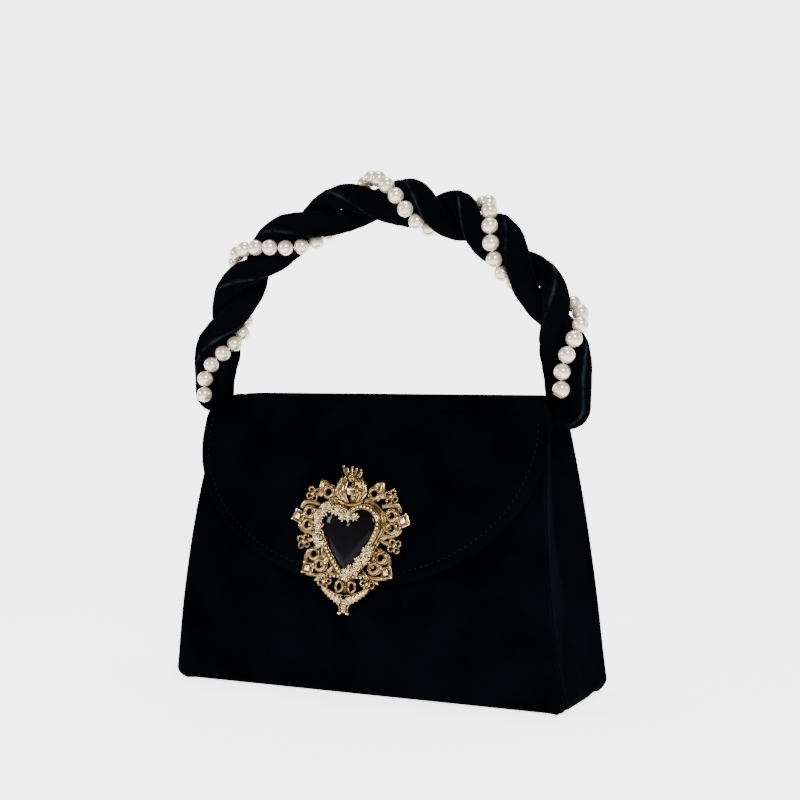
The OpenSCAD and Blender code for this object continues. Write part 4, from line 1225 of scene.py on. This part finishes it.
sheet_piece("back_satin", wall_satin(1, 21.0), False, 0.55, satin, "body", ["back_lining"], "back_board")
sheet_piece("front_satin", wall_satin(-1, 22.0), True, 0.55, satin, "front", ["front_lining"], "front_board")
for side, tag in SIDES:
    sheet_piece(f"gusset_satin_{tag}", gusset_satin(side), side < 0, 0.5, satin, GUSSET_BEND,
                [f"gusset_lining_{tag}"], f"gusset_velvet_{tag}")
base_pad = sheet_piece("base_satin", base_satin(), False, 0.1, satin, "body", ["base_lining"])
sheet_piece("flap_satin", flap_satin(), True, -0.3, satin, FOLD_BEND, ["flap_lining", "bridge_lining"],
            "flap_board")

# Slip pocket: a full patch whose mouth gapes a little, with a bound edge.
POCKET_HALF, POCKET_LOW, POCKET_TOP = 49.5, 42.5, 91.6


def pocket_point(i, z):
    lift = (max(0.0, 1 - abs(i) ** 7) * ease((z - POCKET_LOW) / 9.0)) ** 0.6
    gather = 0.35 * sin(i * 34) * ease((z - 74) / 16) * (1 - abs(i) ** 6)
    sink = 3.75 + 6.4 * lift + gather + creases((i * 50, 0, z), 29.0, 0.7) * lift
    return (POCKET_HALF * i, half_depth(z) - sink, z)


pocket_rows = [[pocket_point(i, z) for i in np.linspace(-1, 1, 60)]
               for z in np.linspace(POCKET_LOW, POCKET_TOP, 30)]
sheet_piece("pocket_satin", pocket_rows, False, 0.5, satin, "body", ["slip_pocket"], "back_satin")
binding = Solid()
binding.tube(np.array(pocket_rows[-1]) + (0, -0.25, 0.5), 0.95, 12)
finish_piece(binding.make("pocket_bound_edge"), velvet, "body", "pocket_binding")

# ---- tapes that hold the U-turns ----

TAPE_HALF, TAPE_T, TAPE_IN = 2.0, 0.7, 1.65
TAPE_BEND = ("body", "handle", (0, 0, 0.118), (0, 0, 0.134))
DIAGONAL = sqrt(0.5)
# The band's section, as (place along the tube, distance from the tube's middle line).
BAND = [(-1.5, TUBE_R), (-1.5, 6.0), (-1.3, 6.15), (1.3, 6.15), (1.5, 6.0), (1.5, TUBE_R)]


def tape(side, turn_z):
    """A band round the padded tube and a tail sewn in behind the gusset."""
    cx, cz = ARCH_A + side * ARCH_SHIFT - BIGHT_R * DIAGONAL, turn_z - BIGHT_R * DIAGONAL
    band, tail = [], []
    for phi in arc(-128, 128, 40):
        band.append([(side * (cx - (r * cos(phi) + along) * DIAGONAL), r * sin(phi),
                      cz - (r * cos(phi) - along) * DIAGONAL) for along, r in BAND])
    sewn = [(half_width(z) - pinch_depth(z) - TAPE_IN, 0, z) for z in (116.0, 122.0, 128.0)]
    top = (cx - 3.4, 0, cz - 4.6)
    between = (0.5 * (sewn[-1][0] + top[0]), 0, 0.5 * (sewn[-1][2] + top[2]))
    path = curve([*sewn, between, top], 24)
    for p, step in zip(path, np.gradient(path, axis=0)):
        face = p + np.array([-step[2], 0, step[0]]) / np.hypot(step[0], step[2]) * TAPE_T
        tail.append([(side * q[0], y, q[2]) for q, y in (
            (p, -TAPE_HALF), (face, -TAPE_HALF), (face, TAPE_HALF), (p, TAPE_HALF))])
    solid = Solid()
    solid.grid(band, caps=True)
    solid.grid(tail, caps=True)
    return solid


for side, tag, turn_z in ((1, "right", BIGHT_RIGHT_Z), (-1, "left", BIGHT_LEFT_Z)):
    finish_piece(tape(side, turn_z).make(f"handle_tape_{tag}"), rope_velvet, TAPE_BEND, f"handle_strap_{tag}")

# ---- studio: a pale lit floor that fades out round the bag ----

FLOOR_HALF, FLOOR_Z, FLOOR_GREY, FLOOR_GLOW = 3000.0, -0.3, 0.80, 2.9
FADE_FROM, FADE_TO = 0.25, 1.3
floor = mesh_object("floor", [(x * FLOOR_HALF, y * FLOOR_HALF, FLOOR_Z)
                              for x, y in ((-1, -1), (1, -1), (1, 1), (-1, 1))], [(0, 1, 2, 3)])
material, tree, shader, coord = new_material("floor")
surface = shader.outputs[0].links[0].to_socket
cloud = noise_at(tree, coord, 3.0, 2.0)
feed(tree, shader, {
    "Base Color": ramp(tree, cloud, [(0.0, [FLOOR_GREY * 0.99] * 3), (1.0, [FLOOR_GREY] * 3)]),
    "Roughness": 0.9,
    "Specular IOR Level": 0.1,
    "Emission Color": (1, 1, 1, 1),
    "Emission Strength": FLOOR_GLOW,
})
reach = add(tree, "ShaderNodeVectorMath", {0: coord}, operation="LENGTH").outputs["Value"]
fade = remap(tree, reach, 0.0, 1.0, FADE_FROM, FADE_TO, interpolation_type="SMOOTHSTEP")
clear = add(tree, "ShaderNodeBsdfTransparent")
mixed = add(tree, "ShaderNodeMixShader", {0: fade, 1: shader.outputs[0], 2: clear.outputs[0]})
tree.links.new(mixed.outputs[0], surface)
floor.data.materials.append(material)

# Light backdrop behind the bag, a dimmer room in front of it and a darker ceiling.
WORLD_LIT, WORLD_ROOM, WORLD_TOP = 4.6, 0.9, 0.3
world = bpy.data.worlds.new("studio")
bpy.context.scene.world = world
world.use_nodes = True
tree = world.node_tree
direction = add(tree, "ShaderNodeTexCoord").outputs["Generated"]
height = add(tree, "ShaderNodeSeparateXYZ", {0: direction}).outputs["Z"]
ahead = (-sin(CAM_AZ), cos(CAM_AZ), 0.0)
facing = add(tree, "ShaderNodeVectorMath", {0: direction, 1: ahead}, operation="DOT_PRODUCT").outputs["Value"]
wall = remap(tree, facing, WORLD_ROOM, WORLD_LIT, 0.2, 0.8, interpolation_type="SMOOTHSTEP")
sky = remap(tree, height, 0.0, 1.0, 0.32, 0.7, interpolation_type="SMOOTHSTEP")
level = add(tree, "ShaderNodeMix", {"Factor": sky, "A": wall, "B": WORLD_TOP}, data_type="FLOAT")
feed(tree, tree.nodes["Background"], {"Strength": level.outputs["Result"], "Color": (0.985, 0.985, 1.0, 1)})

MIDDLE = Vector((0, 0, 0.12))
# Soft lights, as name, place and size in metres, and power in watts.
for name, place, size, power in (
        ("key", (0.75, -0.95, 0.9), (0.3, 0.3), 24.0),
        ("fill", (-0.9, -0.75, 0.55), (0.2, 0.3), 9.0),
        ("top", (0.0, 0.1, 1.25), (0.5, 0.3), 12.0),
        ("side", (1.1, 0.3, 0.5), (0.3, 0.5), 3.0)):
    data = bpy.data.lights.new(name, "AREA")
    data.shape = "RECTANGLE"
    data.size, data.size_y = size
    data.energy = power
    light = new_object(name, data)
    light.location = place
    light.rotation_euler = (MIDDLE - Vector(place)).to_track_quat("-Z", "Y").to_euler()
